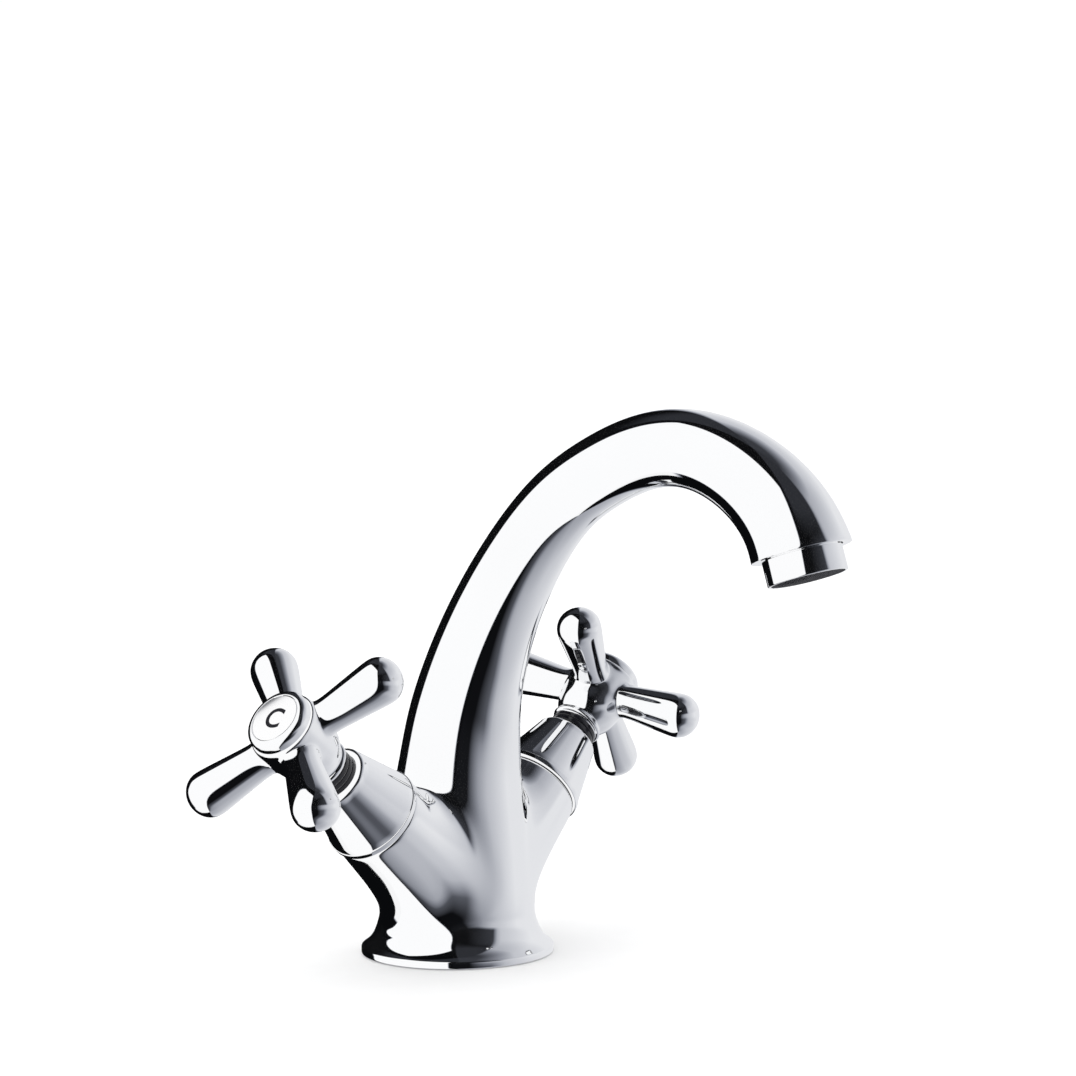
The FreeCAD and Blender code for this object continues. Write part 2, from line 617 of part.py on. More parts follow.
def handle(side, turn):
    """The cross handle: hub and four arms cast in one, bored for the spindle, screw and cap."""
    shape = hub()
    arms = [handle_arm(turn + 360.0 / ARM_COUNT * index) for index in range(ARM_COUNT)]
    shape = shape.fuse(arms)
    shape = shape.makeFillet(ARM_FILLET, [edge for edge in shape.Edges if is_arm_root(edge)])
    foot_s = BONNET_TOP_S - SLEEVE_IN
    low_spline = SPLINE_TOP_S - SPLINE_LENGTH
    cuts = [rod(SLEEVE_R - SLEEVE_WALL, foot_s - 1.0, low_spline),
            splined(SPINDLE_R + FIT, low_spline - 1.0, SPLINE_TOP_S + FIT),
            rod(SCREW_R + 0.2, SPLINE_TOP_S - 1.0, ARM_S + 1.0),
            rod(SCREW_HEAD_R + 1.0, SPLINE_TOP_S + WEB_T, HUB_TOP_S + 1.0),
            rod(CAP_SKIRT_R + FIT, HUB_TOP_S - CAP_SKIRT - FIT, HUB_TOP_S + 1.0)]
    return tilt(shape.cut(cuts), side)


def handle_screw(side):
    """The screw that holds the handle on the spindle, with its cross slot."""
    head_foot = SPLINE_TOP_S + WEB_T
    head = rod(SCREW_HEAD_R, head_foot, head_foot + SCREW_HEAD_T)
    screw = head.fuse(rod(SCREW_R, SPLINE_TOP_S - SCREW_LENGTH + 2 * FIT, head_foot + 0.5))
    for size in ((4.4, 0.9, 2.0), (0.9, 4.4, 2.0)):
        screw = screw.cut(block(size, (0, 0, head_foot + SCREW_HEAD_T)))
    return tilt(screw.removeSplitter(), side)


def handle_cap(side):
    """The round cap that covers the screw, with a skirt below and a recess for the disc."""
    step = HUB_TOP_S + CAP_FLANGE
    soft = 0.8
    turn = soft * (1 - math.sqrt(0.5))
    recess = CAP_TOP_S - INDEX_T
    hollow = HUB_TOP_S - 0.2
    points = [(CAP_SKIRT_R, HUB_TOP_S - CAP_SKIRT), (CAP_SKIRT_R, HUB_TOP_S)]
    edges = [line(*points), line(points[1], (CAP_R - 0.5, HUB_TOP_S)),
             arc((CAP_R - 0.5, HUB_TOP_S), (CAP_R, HUB_TOP_S + CAP_FLANGE * 0.45), (CAP_R - 0.6, step)),
             line((CAP_R - 0.6, step), (CAP_FACE_R, step)),
             line((CAP_FACE_R, step), (CAP_FACE_R, CAP_TOP_S - soft)),
             arc((CAP_FACE_R, CAP_TOP_S - soft), (CAP_FACE_R - turn, CAP_TOP_S - turn),
                 (CAP_FACE_R - soft, CAP_TOP_S)),
             line((CAP_FACE_R - soft, CAP_TOP_S), (DISC_R + FIT, CAP_TOP_S)),
             line((DISC_R + FIT, CAP_TOP_S), (DISC_R + FIT, recess)),
             line((DISC_R + FIT, recess), (0, recess)), line((0, recess), (0, hollow)),
             line((0, hollow), (CAP_SKIRT_R - 1.0, hollow)),
             line((CAP_SKIRT_R - 1.0, hollow), (CAP_SKIRT_R - 1.0, HUB_TOP_S - CAP_SKIRT)),
             line((CAP_SKIRT_R - 1.0, HUB_TOP_S - CAP_SKIRT), points[0])]
    return tilt(turned(edges), side)


def letter(side, depth, grow=0.0):
    """A C on the left and an F on the right, upright along the handle's own X."""
    low = CAP_TOP_S - depth
    half = LETTER_W / 2 + grow
    if side < 0:
        middle_r = LETTER_R - LETTER_W / 2
        shape = ring(middle_r + half, middle_r - half, low, CAP_TOP_S)
        mouth = block((2 * LETTER_R * 0.62 - 2 * grow, LETTER_R, 4 * LETTER_T), (0, -LETTER_R, low))
        return shape.cut(mouth)
    width = 1.4 * LETTER_R
    stem = block((2 * LETTER_R + 2 * grow, 2 * half, depth), (0, width / 2, low + depth / 2))
    bars = []
    for height, length in ((LETTER_R - LETTER_W / 2, width), (0.1 * LETTER_R, 0.8 * width)):
        centre = (height, width / 2 - length / 2, low + depth / 2)
        bars.append(block((2 * half, length + 2 * grow, depth), centre))
    return fuse([stem] + bars)


def index_disc(side):
    """The disc in the cap's face, with a pocket for the letter."""
    disc = rod(DISC_R, CAP_TOP_S - INDEX_T + FIT, CAP_TOP_S)
    return tilt(disc.cut(letter(side, LETTER_T + FIT, FIT)), side)


def index_letter(side):
    """The letter set in the disc."""
    return tilt(letter(side, LETTER_T), side)


# ---- Writing the pieces --------------------------------------------------------------------
def save(name, shape):
    """Writes one piece to parts/ under its name."""
    shape.exportStep("parts/%s.step" % name)


def main():
    """Builds and writes every piece."""
    os.makedirs("parts", exist_ok=True)
    save("body_casting", body_casting())
    save("base_seal", base_seal())
    save("aerator_housing", aerator_housing())
    save("aerator_screen", aerator_screen())
    save("aerator_core", aerator_core())
    save("aerator_washer", aerator_washer())
    paired = {"valve_body": valve_body, "valve_oring": valve_oring, "seat_seal": seat_seal,
              "disc_fixed": disc_fixed, "disc_moving": disc_moving, "spindle": spindle,
              "spindle_orings": spindle_orings, "spindle_clip": spindle_clip, "bonnet": bonnet,
              "bonnet_seal": bonnet_seal, "handle_screw": handle_screw, "handle_cap": handle_cap,
              "index_disc": index_disc, "index_letter": index_letter}
    for side, word, turn in ((-1, "left", LEFT_TURN), (1, "right", RIGHT_TURN)):
        for name, make in paired.items():
            save("%s_%s" % (name, word), make(side))
        save("handle_%s" % word, handle(side, turn))


main()
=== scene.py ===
"""A chrome basin mixer with two cross handles: its finished skins, its materials and its studio.

Pieces are modelled in millimetres, each in the easiest frame for it, and then put in place in the
row frame in metres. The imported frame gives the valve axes, the boxes and the bodies to ride on.
"""
import json
import logging
import math
from dataclasses import dataclass
from enum import Enum
from typing import Sequence

import bmesh
import bpy
from mathutils import Matrix, Vector


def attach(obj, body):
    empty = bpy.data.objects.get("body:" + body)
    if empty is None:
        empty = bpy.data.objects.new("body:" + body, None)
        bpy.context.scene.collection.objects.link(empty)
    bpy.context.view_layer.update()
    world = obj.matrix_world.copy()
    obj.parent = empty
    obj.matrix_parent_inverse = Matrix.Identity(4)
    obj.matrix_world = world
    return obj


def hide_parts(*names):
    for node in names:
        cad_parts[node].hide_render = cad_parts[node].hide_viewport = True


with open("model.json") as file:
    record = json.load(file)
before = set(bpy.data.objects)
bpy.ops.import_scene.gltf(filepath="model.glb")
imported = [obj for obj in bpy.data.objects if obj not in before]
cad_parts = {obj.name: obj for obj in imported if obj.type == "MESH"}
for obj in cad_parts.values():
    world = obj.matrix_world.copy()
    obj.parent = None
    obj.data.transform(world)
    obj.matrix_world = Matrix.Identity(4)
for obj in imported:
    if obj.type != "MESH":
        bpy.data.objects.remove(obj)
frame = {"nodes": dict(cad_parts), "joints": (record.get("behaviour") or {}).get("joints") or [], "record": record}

log = logging.getLogger("mixer")
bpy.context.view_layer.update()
MM = 0.001
Point = tuple[float, float]
Colour = tuple[float, float, float]


# ---- Modelling -----------------------------------------------------------------------------
def deselect() -> None:
    """Leaves nothing selected and nothing in edit mode."""
    if bpy.context.object and bpy.context.object.mode != "OBJECT":
        bpy.ops.object.mode_set(mode="OBJECT")
    bpy.ops.object.select_all(action="DESELECT")


def pick(piece: bpy.types.Object) -> None:
    """Selects one piece alone and makes it active."""
    deselect()
    piece.select_set(True)
    bpy.context.view_layer.objects.active = piece


def smooth(piece: bpy.types.Object, angle: float = 32.0) -> None:
    """Shades a piece smooth, except across edges sharper than an angle in degrees."""
    pick(piece)
    bpy.ops.object.shade_smooth_by_angle(angle=math.radians(angle))


def settle(piece: bpy.types.Object, place: Matrix) -> bpy.types.Object:
    """Moves a piece drawn in millimetres to its place and leaves its object at the origin.

    Args:
        piece: the piece, drawn in millimetres in its own frame.
        place: where that frame is in the row frame, in millimetres.

    Returns:
        The same piece, in metres.
    """
    pick(piece)
    piece.matrix_world = Matrix.Scale(MM, 4) @ place
    bpy.ops.object.transform_apply(location=True, rotation=True, scale=True)
    return piece


def outward(piece: bpy.types.Object) -> None:
    """Merges doubles and turns every face outwards."""
    pick(piece)
    bpy.ops.object.mode_set(mode="EDIT")
    bpy.ops.mesh.select_all(action="SELECT")
    bpy.ops.mesh.remove_doubles(threshold=1e-4)
    bpy.ops.mesh.normals_make_consistent(inside=False)
    bpy.ops.object.mode_set(mode="OBJECT")


def apply_modifier(piece: bpy.types.Object, kind: str, **settings: object) -> None:
    """Adds a modifier, sets it and applies it."""
    pick(piece)
    modifier = piece.modifiers.new(kind.title(), kind)
    for name, value in settings.items():
        setattr(modifier, name, value)
    bpy.ops.object.modifier_apply(modifier=modifier.name)


def join(name: str, pieces: Sequence[bpy.types.Object]) -> bpy.types.Object:
    """Makes one piece of several and names it."""
    pick(pieces[0])
    for piece in pieces[1:]:
        piece.select_set(True)
    bpy.ops.object.join()
    pieces[0].name = name
    return pieces[0]


def ring(radius: float, height: float, count: int) -> list[Vector]:
    """Places round a circle on Z."""
    steps = [2.0 * math.pi * i / count for i in range(count)]
    return [Vector((radius * math.cos(a), radius * math.sin(a), height)) for a in steps]


def rounded(outline: Sequence[tuple[float, ...]], steps: int = 6) -> list[Point]:
    """Rounds the corners of an outline.

    Args:
        outline: (radius, height) or (radius, height, rounding) for each corner.
        steps: how many edges make one rounded corner.

    Returns:
        The outline's places, with an arc-like curve at each rounded corner.
    """
    places: list[Point] = []
    for index, corner in enumerate(outline):
        here = Vector(corner[:2])
        if len(corner) < 3 or not 0 < index < len(outline) - 1:
            places.append((here.x, here.y))
            continue
        back = (Vector(outline[index - 1][:2]) - here).normalized()
        ahead = (Vector(outline[index + 1][:2]) - here).normalized()
        half = 0.5 * back.angle(ahead)
        start = here + back * corner[2] / math.tan(half)
        end = here + ahead * corner[2] / math.tan(half)
        middle = here + (back + ahead).normalized() * corner[2] / math.sin(half)
        first, sweep = start - middle, (start - middle).angle_signed(end - middle)
        for step in range(steps + 1):
            turn = Matrix.Rotation(-sweep * step / steps, 2)
            spot = middle + turn @ first
            places.append((spot.x, spot.y))
    return places


class Skin:
    """An open skin that grows loop by loop in edit mode, as it is done by hand."""

    # How many places per millimetre are told apart when a point is looked up.
    FINENESS = 2000.0

    def __init__(self, name: str, first: Sequence[Vector]) -> None:
        """Starts the skin from a circle primitive whose points go to their first places."""
        deselect()
        bpy.ops.mesh.primitive_circle_add(vertices=len(first), radius=1.0)
        self.piece = bpy.context.object
        self.piece.name = name
        bpy.ops.object.mode_set(mode="EDIT")
        bpy.ops.mesh.select_mode(type="EDGE")
        mesh = self._mesh()
        for vertex, place in zip(list(mesh.verts), first):
            vertex.co = place
        self._push()

    def _mesh(self) -> bmesh.types.BMesh:
        """The edit mesh, with its tables ready."""
        mesh = bmesh.from_edit_mesh(self.piece.data)
        mesh.verts.ensure_lookup_table()
        return mesh

    def _push(self) -> None:
        """Hands moved points back to the piece."""
        bmesh.update_edit_mesh(self.piece.data)

    def _key(self, place: Vector) -> tuple[int, int, int]:
        """A name for a place, to find the point that is there."""
        return tuple(round(c * self.FINENESS) for c in place)

    def _select(self, loop: Sequence[Vector]) -> None:
        """Selects the edges that join the points of a loop in order."""
        bpy.ops.mesh.select_all(action="DESELECT")
        mesh = self._mesh()
        keys = [self._key(place) for place in loop]
        pairs = {frozenset(pair) for pair in zip(keys, keys[1:] + keys[:1])}
        for edge in mesh.edges:
            if frozenset(self._key(v.co) for v in edge.verts) in pairs:
                edge.select_set(True)
        self._push()

    def extrude(self, loop: Sequence[Vector], places: Sequence[Vector]) -> list[Vector]:
        """Extrudes a loop of edges and moves the new loop to its places.

        Args:
            loop: where the loop's points are, in order.
            places: where each point of the new loop goes.

        Returns:
            The new loop's places.
        """
        self._select(loop)
        bpy.ops.mesh.extrude_edges_move()
        mesh = self._mesh()
        fresh = {self._key(v.co): v for v in mesh.verts if v.select}
        for old, new in zip(loop, places):
            fresh[self._key(old)].co = new
        self._push()
        return list(places)

    def grow(self, loops: Sequence[Sequence[Vector]], start: Sequence[Vector]) -> list[Vector]:
        """Extrudes through several loops and returns the last."""
        last = list(start)
        for places in loops:
            last = self.extrude(last, places)
        return last

    def open(self, patch: Sequence[Vector]) -> None:
        """Deletes the faces whose corners are all in a patch."""
        bpy.ops.mesh.select_all(action="DESELECT")
        bpy.ops.mesh.select_mode(type="FACE")
        keys = {self._key(place) for place in patch}
        for face in self._mesh().faces:
            if all(self._key(v.co) in keys for v in face.verts):
                face.select_set(True)
        self._push()
        bpy.ops.mesh.delete(type="FACE")
        bpy.ops.mesh.select_mode(type="EDGE")

    def cap(self, loop: Sequence[Vector]) -> None:
        """Closes a loop with one flat face."""
        self._select(loop)
        bpy.ops.mesh.edge_face_add()

    def dome(self, loop: Sequence[Vector], centre: Vector, axis: Vector, radius: float) -> None:
        """Closes a loop with a grid of faces, pushed out to a ball.

        Args:
            loop: where the loop's points are, in order.
            centre: the ball's centre.
            axis: the direction the points are pushed in.
            radius: the ball's radius.
        """
        self._select(loop)
        bpy.ops.mesh.fill_grid(span=len(loop) // 4)
        rim = {self._key(place) for place in loop}
        inner = {v for face in self._mesh().faces if face.select for v in face.verts}
        for vertex in inner:
            if self._key(vertex.co) not in rim:
                out = vertex.co - centre
                aside = out - axis * out.dot(axis)
                height = math.sqrt(max(radius ** 2 - aside.length_squared, 0.0))
                vertex.co = centre + aside + axis * height
        self._push()

    def close(self, levels: int = 0) -> bpy.types.Object:
        """Leaves edit mode, turns the faces outwards and subdivides.

        Args:
            levels: how many times the skin is subdivided.

        Returns:
            The finished mesh object, still in millimetres.
        """
        bpy.ops.object.mode_set(mode="OBJECT")
        outward(self.piece)
        if levels:
            apply_modifier(self.piece, "SUBSURF", levels=levels, render_levels=levels)
        return self.piece


def turned(name: str, outline: Sequence[Point], endless: bool = False,
           count: int = 128) -> bpy.types.Object:
    """Turns an outline about Z.

    Args:
        name: the piece's name.
        outline: (radius, height) places from one end to the other.
        endless: whether the outline comes back to its start, as a ring's section does; otherwise
            its two ends are closed flat.
        count: how many sides the turning has.

    Returns:
        The turned piece.
    """
    loops = [ring(r, z, count) for r, z in outline]
    skin = Skin(name, loops[0])
    last = skin.grow(loops[1:], loops[0])
    if endless:
        skin.extrude(last, loops[0])
    else:
        skin.cap(loops[0])
        skin.cap(last)
    return skin.close()


# ---- Materials -----------------------------------------------------------------------------
class Value:
    """A socket that carries a number and can be used in arithmetic."""

    def __init__(self, tree: "Tree", socket: bpy.types.NodeSocket) -> None:
        """Wraps a socket of a tree."""
        self.tree, self.socket = tree, socket

    def _math(self, operation: str, *values: object) -> "Value":
        """Adds a Math node."""
        links = {index: value for index, value in enumerate(values)}
        return self.tree.add("ShaderNodeMath", {"operation": operation}, links)

    def __add__(self, other: object) -> "Value":
        """Adds."""
        return self._math("ADD", self, other)

    def __sub__(self, other: object) -> "Value":
        """Subtracts."""
        return self._math("SUBTRACT", self, other)

    def __rsub__(self, other: object) -> "Value":
        """Subtracts from a number."""
        return self._math("SUBTRACT", other, self)

    def __mul__(self, other: object) -> "Value":
        """Multiplies."""
        return self._math("MULTIPLY", self, other)

    def __truediv__(self, other: object) -> "Value":
        """Divides."""
        return self._math("DIVIDE", self, other)

    def at_least(self, other: object) -> "Value":
        """The larger of the two."""
        return self._math("MAXIMUM", self, other)

    def step(self, low: float, high: float) -> "Value":
        """A smooth rise from 0 at low to 1 at high."""
        settings = {"interpolation_type": "SMOOTHSTEP", "clamp": True}
        limits = {"From Min": low, "From Max": high, "To Min": 0.0, "To Max": 1.0}
        return self.tree.add("ShaderNodeMapRange", settings, {"Value": self, **limits})

    def band(self, low: float, high: float, soft: float) -> "Value":
        """1 between low and high, with soft edges."""
        return self.step(low - soft, low + soft) * (1.0 - self.step(high - soft, high + soft))


class Tree:
    """A node tree that nodes are added to."""

    def __init__(self, nodes: bpy.types.NodeTree) -> None:
        """Empties a tree and keeps it."""
        nodes.nodes.clear()
        self.tree = nodes

    def add(self, kind: str, settings: dict[str, object] | None = None,
            links: dict[object, object] | None = None, out: object = 0) -> Value:
        """Adds a node.

        Args:
            kind: the node's type.
            settings: its settings, which are set first.
            links: a value or a link for each socket, by name or number.
            out: the output that is wanted, by name or number.

        Returns:
            That output.
        """
        node = self.tree.nodes.new(kind)
        for name, value in (settings or {}).items():
            setattr(node, name, value)
        for socket, value in (links or {}).items():
            if isinstance(value, Value):
                self.tree.links.new(value.socket, node.inputs[socket])
            else:
                node.inputs[socket].default_value = value
        return Value(self, node.outputs[out])

    def ramp(self, factor: Value, stops: Sequence[tuple[float, Colour]]) -> Value:
        """A colour ramp with its stops."""
        colour = self.add("ShaderNodeValToRGB", {}, {"Fac": factor}, "Color")
        elements = colour.socket.node.color_ramp.elements
        while len(elements) < len(stops):
            elements.new(0.5)
        for element, (place, shade) in zip(elements, stops):
            element.position, element.color = place, (*shade, 1.0)
        return colour

    def noise(self, where: Value, scale: float, detail: float = 3.0) -> Value:
        """Smooth noise over a surface."""
        return self.add("ShaderNodeTexNoise", {}, {"Vector": where, "Scale": scale, "Detail": detail})

    def place(self) -> Value:
        """Where a point is in the row frame, in metres."""
        return self.add("ShaderNodeTexCoord", {}, {}, "Object")

    def split(self, vector: Value) -> tuple[Value, ...]:
        """A vector's three parts."""
        parts = self.add("ShaderNodeSeparateXYZ", {}, {"Vector": vector}).socket.node.outputs
        return tuple(Value(self, socket) for socket in parts)

    def bump(self, height: Value, distance: float) -> Value:
        """A normal from a height."""
        return self.add("ShaderNodeBump", {}, {"Height": height, "Distance": distance}, "Normal")

    def end(self, kind: str, shader: Value) -> None:
        """Links a shader to the tree's output."""
        self.tree.links.new(shader.socket, self.tree.nodes.new(kind).inputs["Surface"])


def material(name: str) -> tuple[bpy.types.Material, Tree]:
    """A new material and its empty tree."""
    made = bpy.data.materials.new(name)
    made.use_nodes = True
    return made, Tree(made.node_tree)


def surface(tree: Tree, links: dict[object, object]) -> None:
    """Ends a tree with a Principled shader."""
    tree.end("ShaderNodeOutputMaterial", tree.add("ShaderNodeBsdfPrincipled", {}, links, "BSDF"))


@dataclass(frozen=True)
class Chrome:
    """Polished chrome plate: mirror bright, with polishing haze and a faint orange peel."""

    colour: Colour = (0.93, 0.935, 0.945)
    gloss: float = 0.035
    haze: float = 0.03
    peel: float = 0.000004
    # How fine the polishing haze, its grain, the tone and the orange peel are.
    CLOUDS, GRAIN, TONES, PEEL = 38.0, 900.0, 22.0, 170.0
    # How much rougher the grain makes it, and how much of the colour the darker tone keeps.
    GRAIN_ROUGH, DARKER = 0.012, 0.985

    def make(self, name: str) -> bpy.types.Material:
        """Makes the material."""
        made, tree = material(name)
        where = tree.place()
        clouds = tree.noise(where, self.CLOUDS, 4.0)
        grain = tree.noise(where, self.GRAIN, 2.0)
        rough = clouds.step(0.42, 0.75) * self.haze + grain * self.GRAIN_ROUGH + self.gloss
        darker = tuple(self.DARKER * c for c in self.colour)
        tone = tree.ramp(tree.noise(where, self.TONES), ((0.3, darker), (0.7, self.colour)))
        surface(tree, {"Base Color": tone, "Metallic": 1.0, "Roughness": rough,
                       "Normal": tree.bump(tree.noise(where, self.PEEL, 1.0), self.peel)})
        return made


@dataclass(frozen=True)
class Metal:
    """Bare metal, turned or drawn: fine rings of tool marks and uneven tarnish."""

    colour: Colour
    dull: Colour
    rough: float
    # How fine the tool marks are along each axis, how fine the tarnish is, and the marks' depth.
    MARKS, TARNISH, DEPTH = (900.0, 900.0, 4200.0), 160.0, 0.00002

    def make(self, name: str) -> bpy.types.Material:
        """Makes the material."""
        made, tree = material(name)
        where = tree.place()
        stretched = tree.add("ShaderNodeMapping", {}, {"Vector": where, "Scale": self.MARKS})
        marks = tree.noise(stretched, 1.0, 2.0)
        tarnish = tree.noise(where, self.TARNISH, 4.0)
        surface(tree, {"Base Color": tree.ramp(tarnish, ((0.35, self.dull), (0.7, self.colour))),
                       "Metallic": 1.0, "Roughness": marks * 0.16 + tarnish * 0.1 + self.rough,
                       "Normal": tree.bump(marks, self.DEPTH)})
        return made


@dataclass(frozen=True)
class Moulded:
    """Moulded rubber, plastic, fibre or ceramic: mottled colour and a fine skin."""

    colour: Colour
    spread: float
    rough: float
    grain: float
    relief: float = 0.00002
    shine: float = 0.5

    def make(self, name: str) -> bpy.types.Material:
        """Makes the material."""
        made, tree = material(name)
        where = tree.place()
        mottle = tree.noise(where, 0.2 * self.grain, 3.0)
        skin = tree.noise(where, self.grain, 3.0)
        dark = tuple(c * (1.0 - self.spread) for c in self.colour)
        surface(tree, {"Base Color": tree.ramp(mottle, ((0.3, dark), (0.7, self.colour))),
                       "Specular IOR Level": self.shine, "Roughness": skin * 0.12 + self.rough,
                       "Normal": tree.bump(skin, self.relief)})
        return made


class Slot(Enum):
    """The record's material slots and the finish of each."""

    CHROME = ("chrome", Chrome())
    BRASS = ("brass", Metal((0.80, 0.60, 0.28), (0.62, 0.44, 0.19), 0.18))
    STEEL = ("steel", Metal((0.66, 0.66, 0.67), (0.50, 0.50, 0.51), 0.22))
    MESH = ("steel_mesh", Metal((0.09, 0.09, 0.10), (0.03, 0.03, 0.035), 0.22))
    RUBBER = ("black_rubber", Moulded((0.010, 0.010, 0.013), 0.35, 0.08, 900.0, 0.000004, 0.45))
    PLASTIC = ("white_plastic", Moulded((0.80, 0.80, 0.78), 0.06, 0.38, 700.0))
    FIBRE = ("fibre", Moulded((0.05, 0.05, 0.055), 0.30, 0.62, 1200.0, 0.00004))
    CERAMIC = ("ceramic", Moulded((0.90, 0.89, 0.85), 0.04, 0.12, 500.0, 0.000004))
    PLATE = ("index_plate", Chrome((0.95, 0.95, 0.955), 0.09, 0.03, 0.000003))
    INK = ("index_ink", Moulded((0.012, 0.012, 0.017), 0.20, 0.34, 1500.0, 0.00001, 0.12))


class Finishes:
    """Each slot's material, made once."""

    def __init__(self) -> None:
        """Makes every slot's material."""
        self.made = {slot.value[0]: slot.value[1].make("finish_" + slot.value[0]) for slot in Slot}

    def dress(self, piece: bpy.types.Object, slot: str) -> None:
        """Gives a piece its slot's material."""
        piece.data.materials.clear()
        piece.data.materials.append(self.made[slot])

    def dress_cad(self) -> None:
        """Gives each CAD node the material of its slot in the record."""
        for part in frame["record"]["subparts"]:
            node = frame["nodes"][part["node"]]
            node.data.materials.clear()
            node.data.materials.append(self.made[part["material_slot"]])
            node.visible_glossy = False


# ---- The mixer -----------------------------------------------------------------------------
def shrink(count: int) -> float:
    """How much a ring of so many sides shrinks when it is subdivided."""
    return (2.0 + math.cos(2.0 * math.pi / count)) / 3.0


@dataclass
class Valve:
    """One valve's axis, read from the frame: where everything on a slanted arm is."""

    word: str

    def __post_init__(self) -> None:
        """Reads the joint and works out the valve's own frame, with X up along the handle's face."""
        name = f"handle_{self.word}_turn"
        joint = next(j for j in frame["joints"] if j["name"] == name)
        hub = Vector(joint["pos_m"]) / MM
        self.axis = Vector(joint["axis"]).normalized()
        self.side = 1.0 if self.axis.x > 0 else -1.0
        self.root = hub - self.axis * (hub.x / self.axis.x)
        self.up = (Vector((0, 0, 1)) - self.axis * self.axis.z).normalized()
        self.body = joint["child"]

    def place(self, turn: float = 0.0) -> Matrix:
        """The valve's frame in the row frame, turned about its axis by an angle in degrees."""
        across = self.axis.cross(self.up)
        base = Matrix((self.up, across, self.axis)).transposed().to_4x4()
        return Matrix.Translation(self.root) @ base @ Matrix.Rotation(math.radians(turn), 4, "Z")


@dataclass
class Body:
    """The one-piece casting: foot, column, two bosses and the swan-neck spout."""

    waist_r: float = 22.8
    waist_z: float = 12.0
    neck_r: float = 18.1
    neck_z: float = 55.0
    reach: float = 121.6
    rise: float = 65.0
    lip_r: float = 13.7
    crown_r: float = 10.4
    tilt: float = 16.8
    lip_run: float = 14.3
    boss_r: float = 13.8
    boss_root_r: float = 16.0
    boss_root: float = 20.0
    boss_face: float = 45.0
    recess_r: float = 11.15
    sides: int = 24
    rings: int = 30

    # The spout's poles up to its crown: shares of the reach, of the rise and of the neck's thickening.
    POLES = ((0.01, 0.0, 1.0), (0.033, 0.42, 0.50), (0.244, 1.08, 0.05), (0.433, 1.315, 0.0),
             (0.719, 1.515, 0.0))
    # The foot from its underside up to the waist, and its underside from the edge in: (radius, height).
    FOOT = ((27.3, 0.0), (27.8, 0.02), (27.97, 0.16), (27.97, 1.1), (27.97, 1.95), (27.8, 2.12), (27.2, 2.5),
            (26.0, 3.4), (24.8, 4.8), (23.9, 6.5))
    UNDERSIDE = ((25.75, 0.0), (25.55, 0.15), (25.5, 2.6), (22.5, 2.6), (22.45, 0.15), (22.2, 0.0),
                 (18.0, 0.0))
    # A boss's end, up to its face and into it: (distance from the face, extra radius).
    BOSS_END = ((-3.0, 0.0), (-0.5, 0.0), (0.0, -0.35), (0.0, -2.6), (-2.0, -3.2))
    # Where a boss is straight again before its face, the least room the blend leaves before that, and
    # where the straight part has its ring and the blend its rings, as shares of their lengths.
    STRAIGHT, ROOM, STRAIGHT_RING, BLEND_RINGS = 3.6, 1.5, 0.55, (0.3, 0.62, 1.0)
    # How far the blend spreads on to the column below, how much less on top and within what share of
    # the way down, and how much more at the shoulder and at what share of the way down that is.
    FLARE, FLARE_LESS, FLARE_TOP, FLARE_MORE, FLARE_SHOULDER = 3.7, 2.7, 0.03, 1.7, 0.11
    # How far it runs out along the boss: on top, more to the sides within a share, and more below.
    SWEEP, SWEEP_SIDE, SWEEP_WITHIN, SWEEP_BELOW = 1.5, 8.5, 0.12, 3.0

    def poles(self) -> list[Vector]:
        """The spout's poles: how far out, how high and how thick it is."""
        lean = math.radians(self.tilt)
        poles = [Vector((out * self.reach, self.neck_z + up * self.rise,
                         self.crown_r + swell * (self.neck_r - self.crown_r)))
                 for out, up, swell in self.POLES]
        lip = Vector((self.reach, self.neck_z + self.rise, self.lip_r))
        before = Vector((lip.x - self.lip_run * math.sin(lean), lip.y + self.lip_run * math.cos(lean),
                         self.crown_r + 0.63 * (self.lip_r - self.crown_r)))
        return poles + [before, lip]

    def along(self, share: float) -> tuple[Vector, Vector]:
        """The spout's line at a share of the way: (out, height, radius), and how it changes."""
        poles = self.poles()
        spans = len(poles) - 3
        knots = [0.0] * 3 + [i / spans for i in range(spans + 1)] + [1.0] * 3
        span = min(int(share * spans), spans - 1) + 3
        work = [poles[span - 3 + i] for i in range(4)]
        slope = Vector((0, 0, 0))
        for degree in range(1, 4):
            if degree == 3:
                slope = 3.0 * (work[3] - work[2]) / (knots[span + 1] - knots[span])
            for j in range(3, degree - 1, -1):
                low = knots[span - 3 + j]
                high = knots[span + 1 + j - degree]
                blend = (share - low) / (high - low)
                work[j] = work[j - 1].lerp(work[j], blend)
        return work[3], slope

    def hoop(self, out: float, height: float, radius: float, lean: float) -> list[Vector]:
        """A ring square to the spout's line, grown a little because subdividing shrinks it."""
        grown = ring(radius / shrink(self.sides), 0.0, self.sides)
        turn = Matrix.Rotation(lean, 4, "X")
        return [turn @ p + Vector((0, -out, height)) for p in grown]

    def spout_hoop(self, share: float) -> list[Vector]:
        """The ring at a share of the way along the spout."""
        here, slope = self.along(share)
        return self.hoop(here.x, here.y, here.z, math.atan2(slope.x, slope.y))

    def column(self, height: float) -> tuple[float, float]:
        """The column's radius and how far forward its middle is, at a height."""
        if height >= self.neck_z:
            share = 0.0
            while self.along(share)[0].y < height:
                share += 0.01
            here = self.along(share)[0]
            return here.z, here.x
        rise = max(0.0, (height - self.waist_z) / (self.neck_z - self.waist_z))
        ease = rise * rise * (1.6 - 0.6 * rise)
        ease = 0.45 * rise + 0.55 * ease
        return self.waist_r + ease * (self.neck_r - self.waist_r), 0.01 * self.reach * rise ** 3

